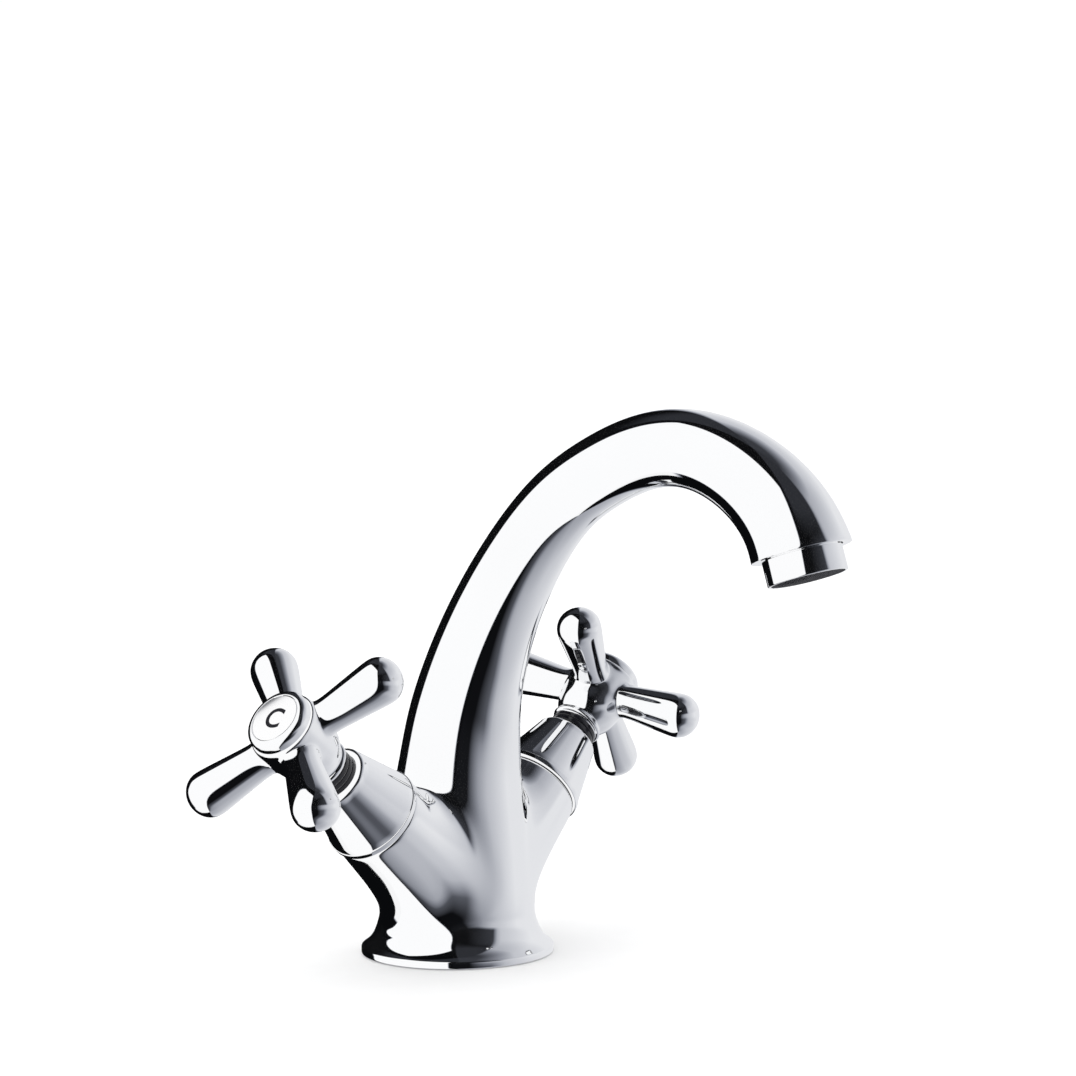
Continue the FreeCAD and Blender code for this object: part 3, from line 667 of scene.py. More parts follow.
    def boss_at(self, valve: Valve, level: float, angle: float, extra: float = 0.0) -> Vector:
        """A point on a boss: its distance along the axis, its angle from the top and any extra radius."""
        slope = (self.boss_root_r - self.boss_r) / (self.boss_face - self.boss_root)
        radius = (self.boss_r + slope * (self.boss_face - level) + extra) / shrink(self.sides)
        around = valve.up * math.cos(angle) + Vector((0, 1, 0)) * math.sin(angle)
        return valve.root + valve.axis * level + around * radius

    def meeting(self, valve: Valve, angle: float, extra: float) -> float:
        """How far along the axis a line of the boss comes out of the column."""
        low, high = 2.0, self.boss_face
        for _ in range(40):
            middle = 0.5 * (low + high)
            spot = self.boss_at(valve, middle, angle, extra)
            radius, out = self.column(spot.z)
            if math.hypot(spot.x, spot.y + out) < radius:
                low = middle
            else:
                high = middle
        return low

    def crease(self, valve: Valve) -> tuple[list[float], list[Vector]]:
        """The loop on the column round a boss, from its top, and each point's angle from the top."""
        angles = [2.0 * math.pi * i / self.sides for i in range(self.sides)]
        loop = []
        for angle in angles:
            wide = self.flare(angle)
            loop.append(self.boss_at(valve, self.meeting(valve, angle, wide), angle, wide))
        return angles, loop

    def flare(self, angle: float) -> float:
        """How far the blend spreads on to the column: least on top, most at the shoulders."""
        low = 0.5 - 0.5 * math.cos(angle)
        down = low / self.FLARE_SHOULDER
        less = self.FLARE_LESS * math.exp(-low / self.FLARE_TOP)
        return self.FLARE - less + self.FLARE_MORE * down * math.exp(1.0 - down)

    def sweep(self, angle: float) -> float:
        """How far the blend runs out along the boss: least on top, most below."""
        low = 0.5 - 0.5 * math.cos(angle)
        side = self.SWEEP_SIDE * (1.0 - math.exp(-low / self.SWEEP_WITHIN))
        return self.SWEEP + side + self.SWEEP_BELOW * low

    def foot_loops(self) -> list[list[Vector]]:
        """The rings from the foot's underside up to the waist."""
        grown = 1.0 / shrink(self.sides)
        return [ring(r * grown, z, self.sides) for r, z in self.FOOT]

    def patch_rows(self, left: list[Vector], right: list[Vector]) -> list[list[Vector]]:
        """The rings of the column between the bosses, whose ends lie on the two creases."""
        quarter = self.sides // 8
        count = 2 * quarter + 1
        rows = []
        for row in range(count):
            places: list[Vector] = [Vector()] * self.sides
            for i in range(self.sides):
                step = (i + quarter) % self.sides - quarter
                if -quarter <= step <= quarter:
                    places[i] = self.patch_point(right, step, row, quarter)
                elif self.sides // 2 - quarter <= step <= self.sides // 2 + quarter:
                    mirrored = self.sides // 2 - step
                    places[i] = self.patch_point(left, mirrored, row, quarter)
            self.fill_strip(places, quarter)
            rows.append(places)
        return rows

    def patch_point(self, loop: list[Vector], step: int, row: int, quarter: int) -> Vector:
        """A point of the square patch that a boss grows from; its rim is the crease."""
        top = 2 * quarter
        if row == top:
            return loop[step % self.sides]
        if row == 0:
            return loop[(self.sides // 2 - step) % self.sides]
        if abs(step) == quarter:
            index = quarter + top - row
            return loop[index if step > 0 else -index]
        start = self.patch_point(loop, -quarter, row, quarter)
        end = self.patch_point(loop, quarter, row, quarter)
        return start.lerp(end, (step + quarter) / (2.0 * quarter)) * 1.02

    def fill_strip(self, places: list[Vector], quarter: int) -> None:
        """Fills a ring's front and back between the two creases, on the column's own radius."""
        half = self.sides // 2
        for start, end in ((quarter, half - quarter), (half + quarter, self.sides - quarter)):
            first, last = places[start], places[end % self.sides]
            _, out = self.column(first.z)
            begin = math.atan2(first.y + out, first.x) % (2 * math.pi)
            finish = math.atan2(last.y + out, last.x) % (2 * math.pi)
            for i in range(start + 1, end):
                share = (i - start) / (end - start)
                angle = begin + share * (finish - begin)
                height = first.z + share * (last.z - first.z)
                radius, out = self.column(height)
                radius /= shrink(self.sides)
                places[i] = Vector((radius * math.cos(angle), radius * math.sin(angle) - out, height))

    def grow_boss(self, skin: Skin, valve: Valve, angles: list[float], loop: list[Vector]) -> None:
        """Extrudes a boss from the crease out to its face, and closes it."""
        exits = [self.meeting(valve, a, 0.0) for a in angles]
        starts = [self.meeting(valve, a, self.flare(a)) for a in angles]
        rest = self.boss_face - self.STRAIGHT
        ends = [min(e + self.sweep(a), rest - self.ROOM) for e, a in zip(exits, angles)]
        loops = []
        for share in self.BLEND_RINGS:
            first, middle, last = (1.0 - share) ** 2, 2.0 * share * (1.0 - share), share ** 2
            loops.append([self.boss_at(valve, first * s + middle * e + last * n, a, first * self.flare(a))
                          for s, e, n, a in zip(starts, exits, ends, angles)])
        loops.append([self.boss_at(valve, n + (rest - n) * self.STRAIGHT_RING, a)
                      for n, a in zip(ends, angles)])
        for back, extra in self.BOSS_END:
            loops.append([self.boss_at(valve, self.boss_face + back, a, extra) for a in angles])
        skin.cap(skin.grow(loops, loop))

    def lip_loops(self) -> list[list[Vector]]:
        """The rings that turn in at the lip and go up into the outlet."""
        here, slope = self.along(1.0)
        lean = math.atan2(slope.x, slope.y)
        down = Vector((0, -math.sin(math.radians(self.tilt)), -math.cos(math.radians(self.tilt))))
        rim, bore = self.lip_r - self.recess_r, self.lip_r - self.recess_r + 0.15
        loops = []
        for inset, rise in ((0.12, 0.0), (0.5, -0.02), (rim, 0.0), (bore, 0.3), (bore, 2.4)):
            places = self.hoop(here.x, here.y, here.z - inset, lean)
            loops.append([p - down * rise for p in places])
        return loops

    def build(self, valves: Sequence[Valve]) -> bpy.types.Object:
        """Builds the whole skin.

        Args:
            valves: the two valves whose bosses grow from the column.

        Returns:
            The finished body, in the row frame.
        """
        left, right = sorted(valves, key=lambda v: v.side)
        angles, right_loop = self.crease(right)
        _, left_loop = self.crease(left)
        foot = self.foot_loops()
        rows = self.patch_rows(left_loop, right_loop)
        skin = Skin("mixer_body", foot[0])
        last = skin.grow(foot[1:], foot[0])
        last = skin.grow(rows, last)
        last = skin.grow(self.shoulder(rows[-1]), last)
        shares = [0.035 + 0.955 * (i / self.rings) for i in range(self.rings + 1)] + [1.0]
        last = skin.grow([self.spout_hoop(s) for s in shares], last)
        skin.cap(skin.grow(self.lip_loops(), last))
        for valve, loop in ((right, right_loop), (left, left_loop)):
            skin.open(self.patch_of(rows, valve))
            self.grow_boss(skin, valve, angles, loop)
        self.underside(skin, foot[0])
        return settle(skin.close(levels=2), Matrix.Identity(4))

    def patch_of(self, rows: list[list[Vector]], valve: Valve) -> list[Vector]:
        """Every corner of the patch that a boss replaces."""
        quarter = self.sides // 8
        middle = 0 if valve.side > 0 else self.sides // 2
        return [row[(middle + step) % self.sides]
                for row in rows for step in range(-quarter, quarter + 1)]

    def shoulder(self, top: list[Vector]) -> list[list[Vector]]:
        """One ring that evens out the creases' tops before the spout's regular rings."""
        regular = self.spout_hoop(0.0)
        places = []
        for here, there in zip(top, regular):
            mixed = here.lerp(there, 0.62)
            radius, out = self.column(max(mixed.z, self.neck_z))
            angle = math.atan2(mixed.y + out, mixed.x)
            radius /= shrink(self.sides)
            places.append(Vector((radius * math.cos(angle), radius * math.sin(angle) - out, mixed.z)))
        return [places]

    def underside(self, skin: Skin, edge: list[Vector]) -> None:
        """Closes the foot from below, with the groove for its seal."""
        grown = 1.0 / shrink(self.sides)
        loops = [ring(r * grown, z, self.sides) for r, z in self.UNDERSIDE]
        skin.cap(skin.grow(loops, edge))


@dataclass
class Bonnet:
    """The bell that covers the valve between the boss and the handle."""

    rim_r: float = 14.35
    foot: float = 45.4
    height: float = 20.6
    top_r: float = 9.6
    bevel: float = 0.7
    band: float = 1.6
    edge: float = 1.1
    hole_r: float = 7.25
    wall: float = 1.4

    def outline(self) -> list[tuple[float, ...]]:
        """The section: up outside, over the crown, down the hole and back inside."""
        top = self.foot + self.height
        middle = 0.5 * (self.foot + 2 * self.bevel + top - self.edge)
        slope = (self.rim_r - self.top_r) / (self.height - self.bevel - self.edge)
        waist = self.top_r + slope * (top - middle) * 0.86
        start, end = (self.rim_r - 0.3, self.foot + self.band + 0.3), (self.top_r, top - self.edge)
        side = []
        for step in range(13):
            share = step / 12.0
            bend = 4.0 * share * (1.0 - share)
            straight = start[0] + share * (end[0] - start[0])
            side.append((straight + bend * (waist - 0.5 * (start[0] + end[0])),
                         start[1] + share * (end[1] - start[1])))
        band_top = self.foot + self.band
        rim = rounded([(self.rim_r - 0.5, self.foot), (self.rim_r, self.foot, 0.25),
                       (self.rim_r, band_top, 0.15), (self.rim_r - 0.28, band_top + 0.12, 0.08), start])[:-1]
        crown = rounded([side[-1], (self.top_r, top, self.edge - 0.02), (self.hole_r, top, 0.25),
                         (self.hole_r, top - 1.6)])[1:]
        inside = [(self.top_r - self.wall, top - 2.2), (self.top_r - self.wall, self.foot + 12.6),
                  (self.rim_r - self.wall - 0.5, self.foot + 6.6), (self.rim_r - self.wall - 0.4, self.foot)]
        return rim + side + crown + inside

    def build(self, valve: Valve) -> bpy.types.Object:
        """Builds one valve's bonnet."""
        return settle(turned(f"bonnet_shell_{valve.word}", self.outline(), True), valve.place())


@dataclass
class Handle:
    """A cross handle: the hub with its bead and four arms that swell to round ends."""

    turn: float = 0.0
    foot: float = 61.0
    sleeve_r: float = 6.9
    bore_r: float = 6.0
    bead: float = 71.2
    bead_r: float = 7.9
    groove_r: float = 7.2
    hub_foot: float = 73.5
    hub_r: float = 10.1
    arms: float = 85.5
    hub_top: float = 91.7
    crown_r: float = 9.6
    root_r: float = 4.3
    root: float = 4.0
    reach: float = 28.3
    tip_r: float = 6.8
    seat_r: float = 5.5
    sides: int = 24
    arm_sides: int = 16

    # What subdividing leaves of a ball's radius, on its rings and on the grid at its tip.
    BALL_KEPT, TIP_KEPT = 0.985, 0.972
    # How far off the hub an arm's first two rings are, and how much wider than the arm.
    ROOT_RINGS = ((0.55, 0.42), (1.5, 0.06))
    # How far out the rings of an arm's straight part are, and how far round its ball the last two.
    ARM_RINGS, BALL_RINGS = (13.6, 17.2, 21.0, 24.8), (68.0, 50.0)
    # Where the corners of an arm's round seat are, in degrees, by (column, row).
    SEAT = {(2, 4): 45.0, (1, 4): 67.5, (0, 4): 90.0, (2, 3): 22.5, (2, 2): 0.0}

    def below(self) -> list[Point]:
        """The rings from the bore down, round the sleeve's foot and up to the hub."""
        bore, sleeve, groove, foot, bead = self.bore_r, self.sleeve_r, self.groove_r, self.foot, self.bead
        bead_top = bead + 1.5
        neck = [(bore, bead + 5.0), (bore, foot + 1.0), (bore, foot + 0.12), (bore + 0.12, foot),
                (sleeve - 0.12, foot), (sleeve, foot + 0.12), (sleeve, foot + 3.0), (sleeve, bead - 1.2),
                (sleeve, bead - 0.12), (sleeve + 0.2, bead), (self.bead_r - 0.3, bead + 0.16),
                (self.bead_r, bead + 0.6), (self.bead_r - 0.06, bead + 1.0), (groove + 0.35, bead_top - 0.08),
                (groove, bead_top + 0.06), (groove - 0.04, self.hub_foot - 0.25),
                (groove + 0.08, self.hub_foot + 0.05)]
        return neck + [(self.flank(self.hub_foot + up), self.hub_foot + up) for up in (0.9, 2.6, 4.4)]

    def flank(self, level: float) -> float:
        """The hub's radius at a level along the axis."""
        if level >= self.arms:
            share = (level - self.arms) / (self.hub_top - self.arms)
            return self.hub_r + 0.15 * share * (2.0 - share)
        share = (self.arms - level) / (self.arms - self.hub_foot)
        return self.hub_r - (self.hub_r - self.groove_r) * (0.30 * share ** 2 + 0.70 * share ** 4)

    def ring_at(self, radius: float, level: float) -> list[Vector]:
        """A ring of the hub, grown a little because subdividing shrinks it."""
        return ring(radius / shrink(self.sides), level, self.sides)

    def seat(self, column: int, row: int) -> tuple[float, float]:
        """How far aside and up a corner of an arm's round seat is from the arm's axis."""
        key = (abs(column), row if row >= 2 else 4 - row)
        if key in self.SEAT:
            angle = math.radians(self.SEAT[key])
            aside, up = self.seat_r * math.cos(angle), self.seat_r * math.sin(angle)
        else:
            aside, up = abs(column) * 0.5 * self.seat_r, (key[1] - 2) * 0.5 * self.seat_r
        return math.copysign(aside, column) if column else 0.0, up if row >= 2 else -up

    def rows(self) -> list[list[Vector]]:
        """The hub's rings at the arms, bent into four round seats."""
        rows = []
        for row in range(5):
            places = []
            for i in range(self.sides):
                arm, column = divmod(i + 3, 6)
                column -= 3
                if column == -3:
                    up, angle = (row - 2) * 0.5 * 0.86 * self.seat_r, math.radians(-45.0)
                    radius = self.flank(self.arms + up)
                else:
                    aside, up = self.seat(column, row)
                    radius = self.flank(self.arms + up)
                    angle = math.asin(aside / radius)
                radius /= shrink(self.sides)
                angle += math.radians(90.0 * arm)
                places.append(Vector((radius * math.cos(angle), radius * math.sin(angle), self.arms + up)))
            rows.append(places)
        return rows

    def arm_loops(self) -> list[list[Vector]]:
        """The rings of an arm that points along X, from just off the hub to near its tip."""
        lean = math.asin((self.tip_r - self.root_r) / (self.reach - self.root))
        angles = [2.0 * math.pi * i / self.arm_sides for i in range(self.arm_sides)]
        hoop = shrink(self.arm_sides)

        def cone(x: float) -> float:
            """The arm's radius at a distance from the hub's middle."""
            return self.root_r + (x - self.root) * math.tan(lean)

        loops = []
        for off, extra in self.ROOT_RINGS:
            places = []
            for a in angles:
                radius = cone(self.hub_r + off) + extra
                side = radius * math.cos(a)
                hub = math.sqrt(self.flank(self.arms + radius * math.sin(a)) ** 2 - side ** 2)
                places.append(Vector((hub + off, side / hoop, radius / hoop * math.sin(a))))
            loops.append(places)
        for x in self.ARM_RINGS:
            wide = cone(x) / hoop
            loops.append([Vector((x, wide * math.cos(a), wide * math.sin(a))) for a in angles])
        for polar in (90.0 - math.degrees(lean), *self.BALL_RINGS):
            loops.append(self.ball(math.radians(polar), angles))
        return loops

    def ball(self, polar: float, angles: list[float]) -> list[Vector]:
        """A ring of an arm's round end."""
        radius = self.tip_r / self.BALL_KEPT
        wide = radius * math.sin(polar) / shrink(self.arm_sides)
        return [Vector((self.reach + radius * math.cos(polar), wide * math.cos(a), wide * math.sin(a)))
                for a in angles]

    def build(self, valve: Valve) -> bpy.types.Object:
        """Builds one valve's handle."""
        below = self.below()
        first = self.ring_at(*below[0])
        rows = self.rows()
        skin = Skin(f"cross_handle_{valve.word}", first)
        last = skin.grow([self.ring_at(*place) for place in below[1:]], first)
        last = skin.grow(rows, last)
        above = ((self.hub_r + 0.15, self.hub_top - 0.7), (self.hub_r + 0.02, self.hub_top - 0.2),
                 (self.hub_r - 0.3, self.hub_top), (self.crown_r - 0.6, self.hub_top))
        skin.cap(skin.grow([self.ring_at(*place) for place in above], last))
        skin.cap(first)
        loops = self.arm_loops()
        level = Vector((0, 0, self.arms))
        for arm in range(4):
            spin = Matrix.Rotation(math.radians(90.0 * arm), 4, "Z")
            skin.open([row[(6 * arm + column) % self.sides] for row in rows for column in range(-2, 3)])
            placed = [[spin @ place + level for place in loop] for loop in loops]
            axis = spin @ Vector((1.0, 0.0, 0.0))
            centre = spin @ Vector((self.reach, 0.0, 0.0)) + level
            last = skin.grow(placed, self.seat_edge(rows, arm))
            skin.dome(last, centre, axis, self.tip_r / self.TIP_KEPT)
        return settle(skin.close(levels=2), valve.place(self.turn))

    def build_neck_shade(self, valve: Valve) -> bpy.types.Object:
        """Builds the black ribbed sleeve round the neck, between the bonnet and the bead: painted shade, a dark
        piece set where the neck only sits in shade and mirrors dark surroundings.
        """
        low, high, ribs = self.bead - 5.6, self.bead - 0.45, 3
        inside, valley, wide = self.sleeve_r - 0.1, self.sleeve_r + 0.02, self.sleeve_r + 0.35
        step = (high - low) / ribs
        corners: list[tuple[float, ...]] = [(inside, low)]
        for index in range(ribs):
            foot = low + index * step
            top = foot + step
            corners += [(valley, foot + 0.05), (wide, foot + 0.12, 0.3), (wide, top - 0.12, 0.3),
                        (valley, top - 0.05)]
        outline = rounded(corners + [(inside, high)], 5)
        return settle(turned(f"neck_shade_sleeve_{valve.word}", outline, True, 96), valve.place())

    def seat_edge(self, rows: list[list[Vector]], arm: int) -> list[Vector]:
        """The sixteen corners round an arm's seat, from the side and over the top."""
        order = [(2, 2), (2, 3), (2, 4), (1, 4), (0, 4), (-1, 4), (-2, 4), (-2, 3), (-2, 2), (-2, 1), (-2, 0),
                 (-1, 0), (0, 0), (1, 0), (2, 0), (2, 1)]
        return [rows[row][(6 * arm + column) % self.sides] for column, row in order]


@dataclass
class Cap:
    """The round cap on a handle, with its marked disc and the letter set in it."""

    foot: float = 91.72
    flange_r: float = 9.5
    shoulder: float = 1.95
    top: float = 95.3
    disc_r: float = 7.2
    sunk: float = 0.8
    letter_height: float = 6.3
    # The radius at which an outline ends near the axis, so that its flat end has a size.
    CENTRE = 0.6

    def build_cap(self, valve: Valve) -> bpy.types.Object:
        """Builds the cap, with the round recess in its face."""
        floor = self.top - self.sunk
        outline = rounded([(self.CENTRE, self.foot), (self.flange_r, self.foot, 0.3),
                           (self.flange_r, self.top, self.shoulder), (self.disc_r + 0.16, self.top, 0.08),
                           (self.disc_r + 0.12, floor), (self.CENTRE, floor)], 10)
        return settle(turned(f"cap_shell_{valve.word}", outline), valve.place())

    def build_disc(self, valve: Valve) -> bpy.types.Object:
        """Builds the disc in the recess."""
        foot, top = self.top - self.sunk + 0.05, self.top - 0.02
        outline = rounded([(self.CENTRE, foot), (self.disc_r, foot), (self.disc_r, top, 0.14),
                           (self.CENTRE, top)])
        return settle(turned(f"marked_disc_{valve.word}", outline), valve.place())

    def build_letter(self, valve: Valve, word: str) -> bpy.types.Object:
        """Sets a letter in the disc, upright on the handle's face."""
        deselect()
        bpy.ops.object.text_add()
        letter = bpy.context.object
        letter.data.body = word
        letter.data.size = 8.0
        letter.data.extrude = 0.1
        letter.data.bevel_depth = 0.02
        letter.data.offset = 0.12
        letter.name = f"letter_inlay_{valve.word}"
        bpy.ops.object.convert(target="MESH")
        corners = [Vector(corner) for corner in letter.bound_box]
        low = Vector([min(c[k] for c in corners) for k in range(3)])
        high = Vector([max(c[k] for c in corners) for k in range(3)])
        scale = self.letter_height / (high.y - low.y)
        middle = 0.5 * (low + high)
        turn = Matrix(((0, 1, 0), (-1, 0, 0), (0, 0, 1))).to_4x4()
        size = Matrix.Diagonal((scale, scale, 1.0, 1.0))
        centre = Matrix.Translation(-middle)
        level = Matrix.Translation(Vector((0, 0, self.top - 0.08)))
        return settle(letter, valve.place() @ level @ turn @ size @ centre)


@dataclass
class Aerator:
    """The ring under the spout's lip and the woven screen in its mouth."""

    tilt: float = 16.8
    out: float = 121.6
    height: float = 120.0
    radius: float = 10.87
    drop: float = 7.0
    wall: float = 1.2
    shank_r: float = 9.8
    shank: float = 5.0
    sunk: float = 0.2
    dome: float = 0.45
    pitch: float = 0.9
    wire_r: float = 0.17

    def place(self) -> Matrix:
        """The mouth's frame in the row frame, with Z up into the spout."""
        lean = math.radians(self.tilt)
        mouth = Vector((0, -self.out - self.drop * math.sin(lean), self.height - self.drop * math.cos(lean)))
        return Matrix.Translation(mouth) @ Matrix.Rotation(-lean, 4, "X")

    def build_ring(self) -> bpy.types.Object:
        """Builds the ring: mouth, outside, shoulder, shank and bore."""
        bore = self.radius - self.wall
        top = self.drop + self.shank
        outline = rounded([(bore, top), (bore, 0.5), (bore + 0.4, 0.0, 0.15), (self.radius, 0.0, 0.3),
                           (self.radius, self.drop - 0.1, 0.18), (self.shank_r, self.drop - 0.1, 0.1),
                           (self.shank_r, top)])
        return settle(turned("aerator_ring", outline, True), self.place())

    def wire(self, phase: float) -> bpy.types.Object:
        """Models one wire along X that waves over and under the ones across it."""
        half = self.radius - self.wall + 0.2
        count = 2 * int(half / self.pitch) + 2
        steps = 2 * count
        deselect()
        bpy.ops.mesh.primitive_cylinder_add(vertices=5, radius=self.wire_r, depth=2 * half,
                                            rotation=(0, math.pi / 2, 0))
        wire = bpy.context.object
        bpy.ops.object.transform_apply(location=False, rotation=True, scale=False)
        bpy.ops.object.mode_set(mode="EDIT")
        bpy.ops.mesh.select_mode(type="EDGE")
        bpy.ops.mesh.select_all(action="DESELECT")
        mesh = bmesh.from_edit_mesh(wire.data)
        for edge in mesh.edges:
            edge.select_set(abs(edge.verts[0].co.x - edge.verts[1].co.x) > half)
        bmesh.update_edit_mesh(wire.data)
        bpy.ops.mesh.subdivide(number_cuts=steps)
        mesh = bmesh.from_edit_mesh(wire.data)
        for vertex in mesh.verts:
            vertex.co.z += 0.9 * self.wire_r * math.cos(math.pi * vertex.co.x / self.pitch + phase)
        bmesh.update_edit_mesh(wire.data)
        bpy.ops.object.mode_set(mode="OBJECT")
        return wire

    def trimmed(self, source: bpy.types.Object, offset: float, turned_by: float) -> bpy.types.Object:
        """Copies a wire to its place across the mouth and cuts its ends off at the ring."""
        copy = source.copy()
        copy.data = source.data.copy()
        bpy.context.scene.collection.objects.link(copy)
        half = math.sqrt(max((self.radius - self.wall + 0.15) ** 2 - offset ** 2, 0.04))
        pick(copy)
        bpy.ops.object.mode_set(mode="EDIT")
        for side in (-1.0, 1.0):
            bpy.ops.mesh.select_all(action="SELECT")
            bpy.ops.mesh.bisect(plane_co=(side * half, 0, 0), plane_no=(side, 0, 0), use_fill=True,
                                clear_outer=True)
        bpy.ops.object.mode_set(mode="OBJECT")
        copy.matrix_world = Matrix.Rotation(turned_by, 4, "Z") @ Matrix.Translation((0, offset, 0))
        bpy.ops.object.transform_apply(location=True, rotation=True, scale=False)
        return copy

    def build_screen(self) -> bpy.types.Object:
        """Weaves the screen."""
        reach = int((self.radius - self.wall) / self.pitch)
        wires = []
        for turned_by, shift in ((0.0, 0.0), (0.5 * math.pi, math.pi)):
            pair = [self.wire(shift), self.wire(shift + math.pi)]
            for index in range(-reach, reach + 1):
                wires.append(self.trimmed(pair[index % 2], index * self.pitch, turned_by))
            for source in pair:
                bpy.data.objects.remove(source, do_unlink=True)
        screen = join("woven_screen", wires)
        for vertex in screen.data.vertices:
            out = math.hypot(vertex.co.x, vertex.co.y) / (self.radius - self.wall)
            vertex.co.z -= self.dome * max(0.0, 1.0 - out * out)
        outward(screen)
        level = Matrix.Translation((0, 0, self.sunk))
        return settle(screen, self.place() @ level)


@dataclass
class Studio:
    """The floor, the light and the camera."""

    azimuth: float = -48.68
    elevation: float = 7.37
    distance: float = 0.85
    target_height: float = 0.06
    pan: float = 1.66
    dip: float = 4.04
    roll: float = -0.48
    lens: float = 97.72

    # The tent's front, from the dark gap beside the key card to the fill: (degrees from the front, tone).
    MIDDLE = ((-35.0, 0.01), (-15.0, 0.37), (3.0, 0.58), (48.0, 0.85))
    ABOVE = ((-36.0, 0.005), (4.0, 0.05), (11.0, 0.5), (17.0, 0.63), (75.0, 0.86))
    BELOW = ((-33.0, 0.006), (-8.0, 0.12), (10.0, 0.54), (21.0, 0.63), (75.0, 0.85))
    # How the tent darkens towards its top and bottom: (sine of the elevation, share of the tone).
    HEIGHTS = ((-1.0, 0.5), (-0.8, 0.77), (-0.4, 1.0), (0.4, 1.0), (0.8, 0.73), (0.97, 0.06))
    FRONT_START, FRONT_SPAN = -60.0, 180.0
    # The tent's front ends here, in degrees, and this soft, in radians.
    FRONT_ENDS, FRONT_SOFT = (-56.0, 130.0), 0.06
    # The key card: which way it is, its foot, its top, half its width, how soft it is, how bright.
    KEY, KEY_LIGHT = (-114.0, -12.0, 2.7, 1.376, 0.05), 1.05
    # What straight looks and soft light see, and the faint light from above and from everywhere.
    STRAIGHT, SOFT, GLOW, DARKEST = 1.02, 1.35, 0.03, 0.004
    # The tint of the gaps, and of the lit surroundings.
    COOL, WHITE = (0.78, 0.83, 1.0, 1.0), (1.0, 1.0, 1.0, 1.0)

    @staticmethod
    def tones(row: Sequence[Point], start: float, span: float) -> list[tuple[float, Colour]]:
        """A row of grey tones as the stops of a ramp that covers a span from its start."""
        return [((place - start) / span, (tone, tone, tone)) for place, tone in row]

    def camera(self) -> None:
        """Places the camera."""
        az, el = math.radians(self.azimuth), math.radians(self.elevation)
        back = Vector((math.sin(az) * math.cos(el), -math.cos(az) * math.cos(el), math.sin(el)))
        eye = Vector((0, 0, self.target_height)) + back * self.distance
        az, el = az - math.radians(self.pan), el - math.radians(self.dip)
        look = Vector((math.sin(az) * math.cos(el), -math.cos(az) * math.cos(el), math.sin(el)))
        right = Vector((math.cos(az), math.sin(az), 0))
        up = look.cross(right)
        roll = Matrix.Rotation(math.radians(self.roll), 4, "Z")
        turn = Matrix((right, up, look)).transposed().to_4x4() @ roll
        data = bpy.data.cameras.new("camera")
        data.lens, data.sensor_width = self.lens, 36.0
        camera = bpy.data.objects.new("camera", data)
        camera.matrix_world = Matrix.Translation(eye) @ turn
        bpy.context.scene.collection.objects.link(camera)
        bpy.context.scene.camera = camera

    def floor(self) -> None:
        """Lays the pale floor, which the chrome doesn't mirror."""
        deselect()
        bpy.ops.mesh.primitive_plane_add(size=30.0, location=(0, 0, -0.0003))
        floor = bpy.context.object
        floor.name = "floor"
        made, tree = material("floor_paint")
        grain = tree.noise(tree.place(), 60.0)
        tones = tree.ramp(grain, ((0.3, (0.93, 0.93, 0.93)), (0.7, (0.95, 0.95, 0.95))))
        surface(tree, {"Base Color": tones, "Roughness": 0.9})
        floor.data.materials.append(made)
        floor.visible_glossy = False

    @staticmethod
    def card(x: Value, y: Value, z: Value, azimuth: float, low: float, high: float, width: float,
             soft: float) -> Value:
        """The part of the surroundings that one flat upright card fills.

        Args:
            x: the X part of the direction looked in.
            y: its Y part.
            z: its Z part.
            azimuth: which way the card is, in degrees from the spout's direction towards +X.
            low: its foot's height over its distance.
            high: its top's height over its distance.
            width: half its width over its distance.
            soft: how soft its edges are, on the same scale.

        Returns:
            1 on the card and 0 off it.
        """
        turn = math.radians(azimuth)
        ahead = x * math.sin(turn) - y * math.cos(turn)
        aside = x * math.cos(turn) + y * math.sin(turn)
        near = ahead.at_least(0.02)
        mask = (aside / near).band(-width, width, soft) * (z / near).band(low, high, soft)
        return mask * ahead.step(0.0, 0.04)

    def light(self) -> None:
        """Surrounds the mixer with a white tent, which the chrome sees as cards and gaps."""
        world = bpy.data.worlds.new("studio")
        world.use_nodes = True
        bpy.context.scene.world = world
        tree = Tree(world.node_tree)
        x, y, z = tree.split(tree.add("ShaderNodeTexCoord", {}, {}, "Generated"))
        azimuth = tree.add("ShaderNodeMath", {"operation": "ARCTAN2"}, {0: x, 1: 0.0 - y})
        down, left = 0.0 - z, 0.0 - azimuth
        # The tent's front: three rows of tones one above the other, darker towards top and bottom.
        share = (azimuth - math.radians(self.FRONT_START)) / math.radians(self.FRONT_SPAN)
        lifted = share + down.step(0.5, 0.9) * 0.2
        rows = ((share, self.MIDDLE), (share, self.ABOVE), (lifted, self.BELOW))
        middle, above, below = (tree.ramp(place, self.tones(row, self.FRONT_START, self.FRONT_SPAN))
                                for place, row in rows)
        under, over = down.step(0.06, 0.3), z.step(0.06, 0.2)
        front = middle * (1.0 - under - over) + above * over + below * under
        front = front * tree.ramp(z * 0.5 + 0.5, self.tones(self.HEIGHTS, -1.0, 2.0))
        start, end = (math.radians(angle) for angle in self.FRONT_ENDS)
        front = front * azimuth.band(start, end, self.FRONT_SOFT)
        # High up it stays dark on the key card's side, apart from a faint glow.
        front = front * (1.0 - z.step(0.5, 0.8) * (1.0 - azimuth.step(-0.1, 0.2)))
        glow = z.step(0.55, 0.8) * azimuth.step(-0.96, -0.86) * self.GLOW + self.DARKEST
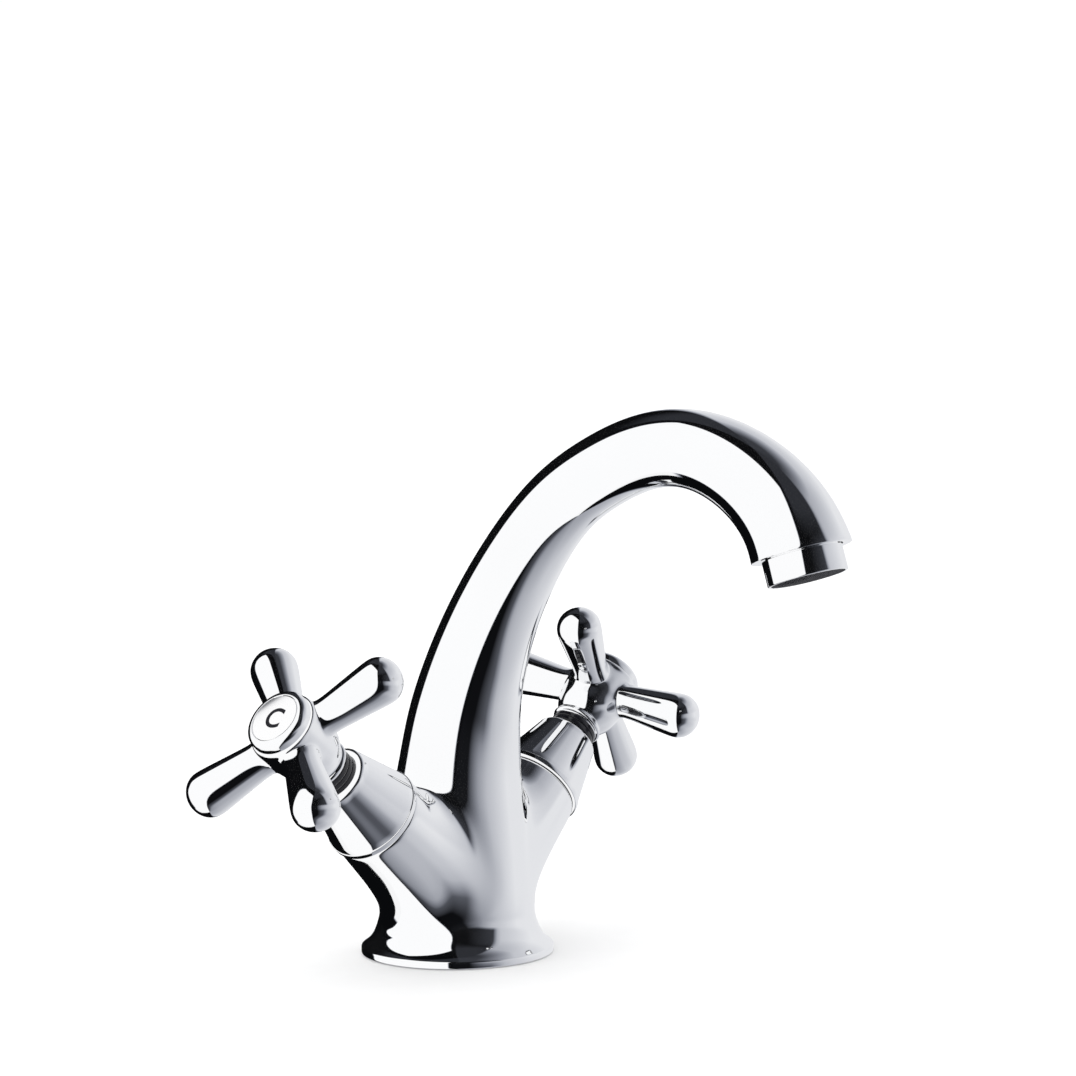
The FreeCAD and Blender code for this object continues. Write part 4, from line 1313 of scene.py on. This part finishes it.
        # The key card is white, and so is the ground below it.
        key = self.card(x, y, z, *self.KEY) * self.KEY_LIGHT
        ground = down.step(0.6, 0.66) * left.step(1.05, 1.1)
        level = front.at_least(glow).at_least(key).at_least(ground)
        rays = tree.add("ShaderNodeLightPath", {}, {}, "Is Glossy Ray")
        straight = tree.add("ShaderNodeLightPath", {}, {}, "Is Camera Ray")
        other = (1.0 - rays - straight).at_least(0.0)
        seen = level * rays + straight * self.STRAIGHT + other * self.SOFT
        tint = tree.add("ShaderNodeMix", {"data_type": "RGBA"},
                        {0: level.at_least(1.0 - rays), 6: self.COOL, 7: self.WHITE}, 2)
        tree.end("ShaderNodeOutputWorld",
                 tree.add("ShaderNodeBackground", {}, {"Color": tint, "Strength": seen}))

    def build(self) -> None:
        """Builds the studio."""
        bpy.context.scene.view_settings.view_transform = "Standard"
        self.camera()
        self.floor()
        self.light()


def finish(finishes: Finishes, piece: bpy.types.Object, slot: str, body: str, node: str,
           mirrored: bool = True) -> None:
    """Smooths a piece, dresses it, sets it on its body and reports it.

    Args:
        finishes: the materials.
        piece: the piece.
        slot: the material slot it takes its finish from.
        body: the body it rides on.
        node: the CAD node it stands for, if any.
        mirrored: whether the chrome round it mirrors it.
    """
    smooth(piece)
    piece.visible_glossy = mirrored
    finishes.dress(piece, slot)
    if node:
        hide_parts(node)
    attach(piece, body)
    log.info("%s: %d faces, rides on %s", piece.name, len(piece.data.polygons), body)


# How far each handle is turned from its arm-up position, in degrees, and the letter in its cap.
HANDLE_TURNS, LETTERS = (44.5, 14.0), "CF"


def main() -> None:
    """Builds every piece and reports it."""
    logging.basicConfig(level=logging.INFO, format="%(name)s: %(message)s")
    finishes = Finishes()
    finishes.dress_cad()
    valves = [Valve("left"), Valve("right")]
    body = Body().build(valves)
    finish(finishes, body, "chrome", "root", "body_casting", False)
    aerator = Aerator()
    finish(finishes, aerator.build_ring(), "chrome", "root", "aerator_housing")
    finish(finishes, aerator.build_screen(), "steel_mesh", "root", "aerator_screen")
    for valve, turn, word in zip(valves, HANDLE_TURNS, LETTERS):
        mirrored, side, turns = valve.side > 0, valve.word, valve.body
        handle, cap = Handle(turn), Cap()
        finish(finishes, Bonnet().build(valve), "chrome", "root", f"bonnet_{side}", mirrored)
        finish(finishes, handle.build(valve), "chrome", turns, f"handle_{side}", mirrored)
        # The black neck sleeve is painted shade: a dark piece that stands in for the shade and dark reflections
        # round the neck.
        finish(finishes, handle.build_neck_shade(valve), "black_rubber", turns, "", mirrored)
        finish(finishes, cap.build_cap(valve), "chrome", turns, f"handle_cap_{side}", mirrored)
        finish(finishes, cap.build_disc(valve), "index_plate", turns, f"index_disc_{side}", mirrored)
        finish(finishes, cap.build_letter(valve, word), "index_ink", turns, f"index_letter_{side}", mirrored)
    Studio().build()


if __name__ == "__main__":
    main()
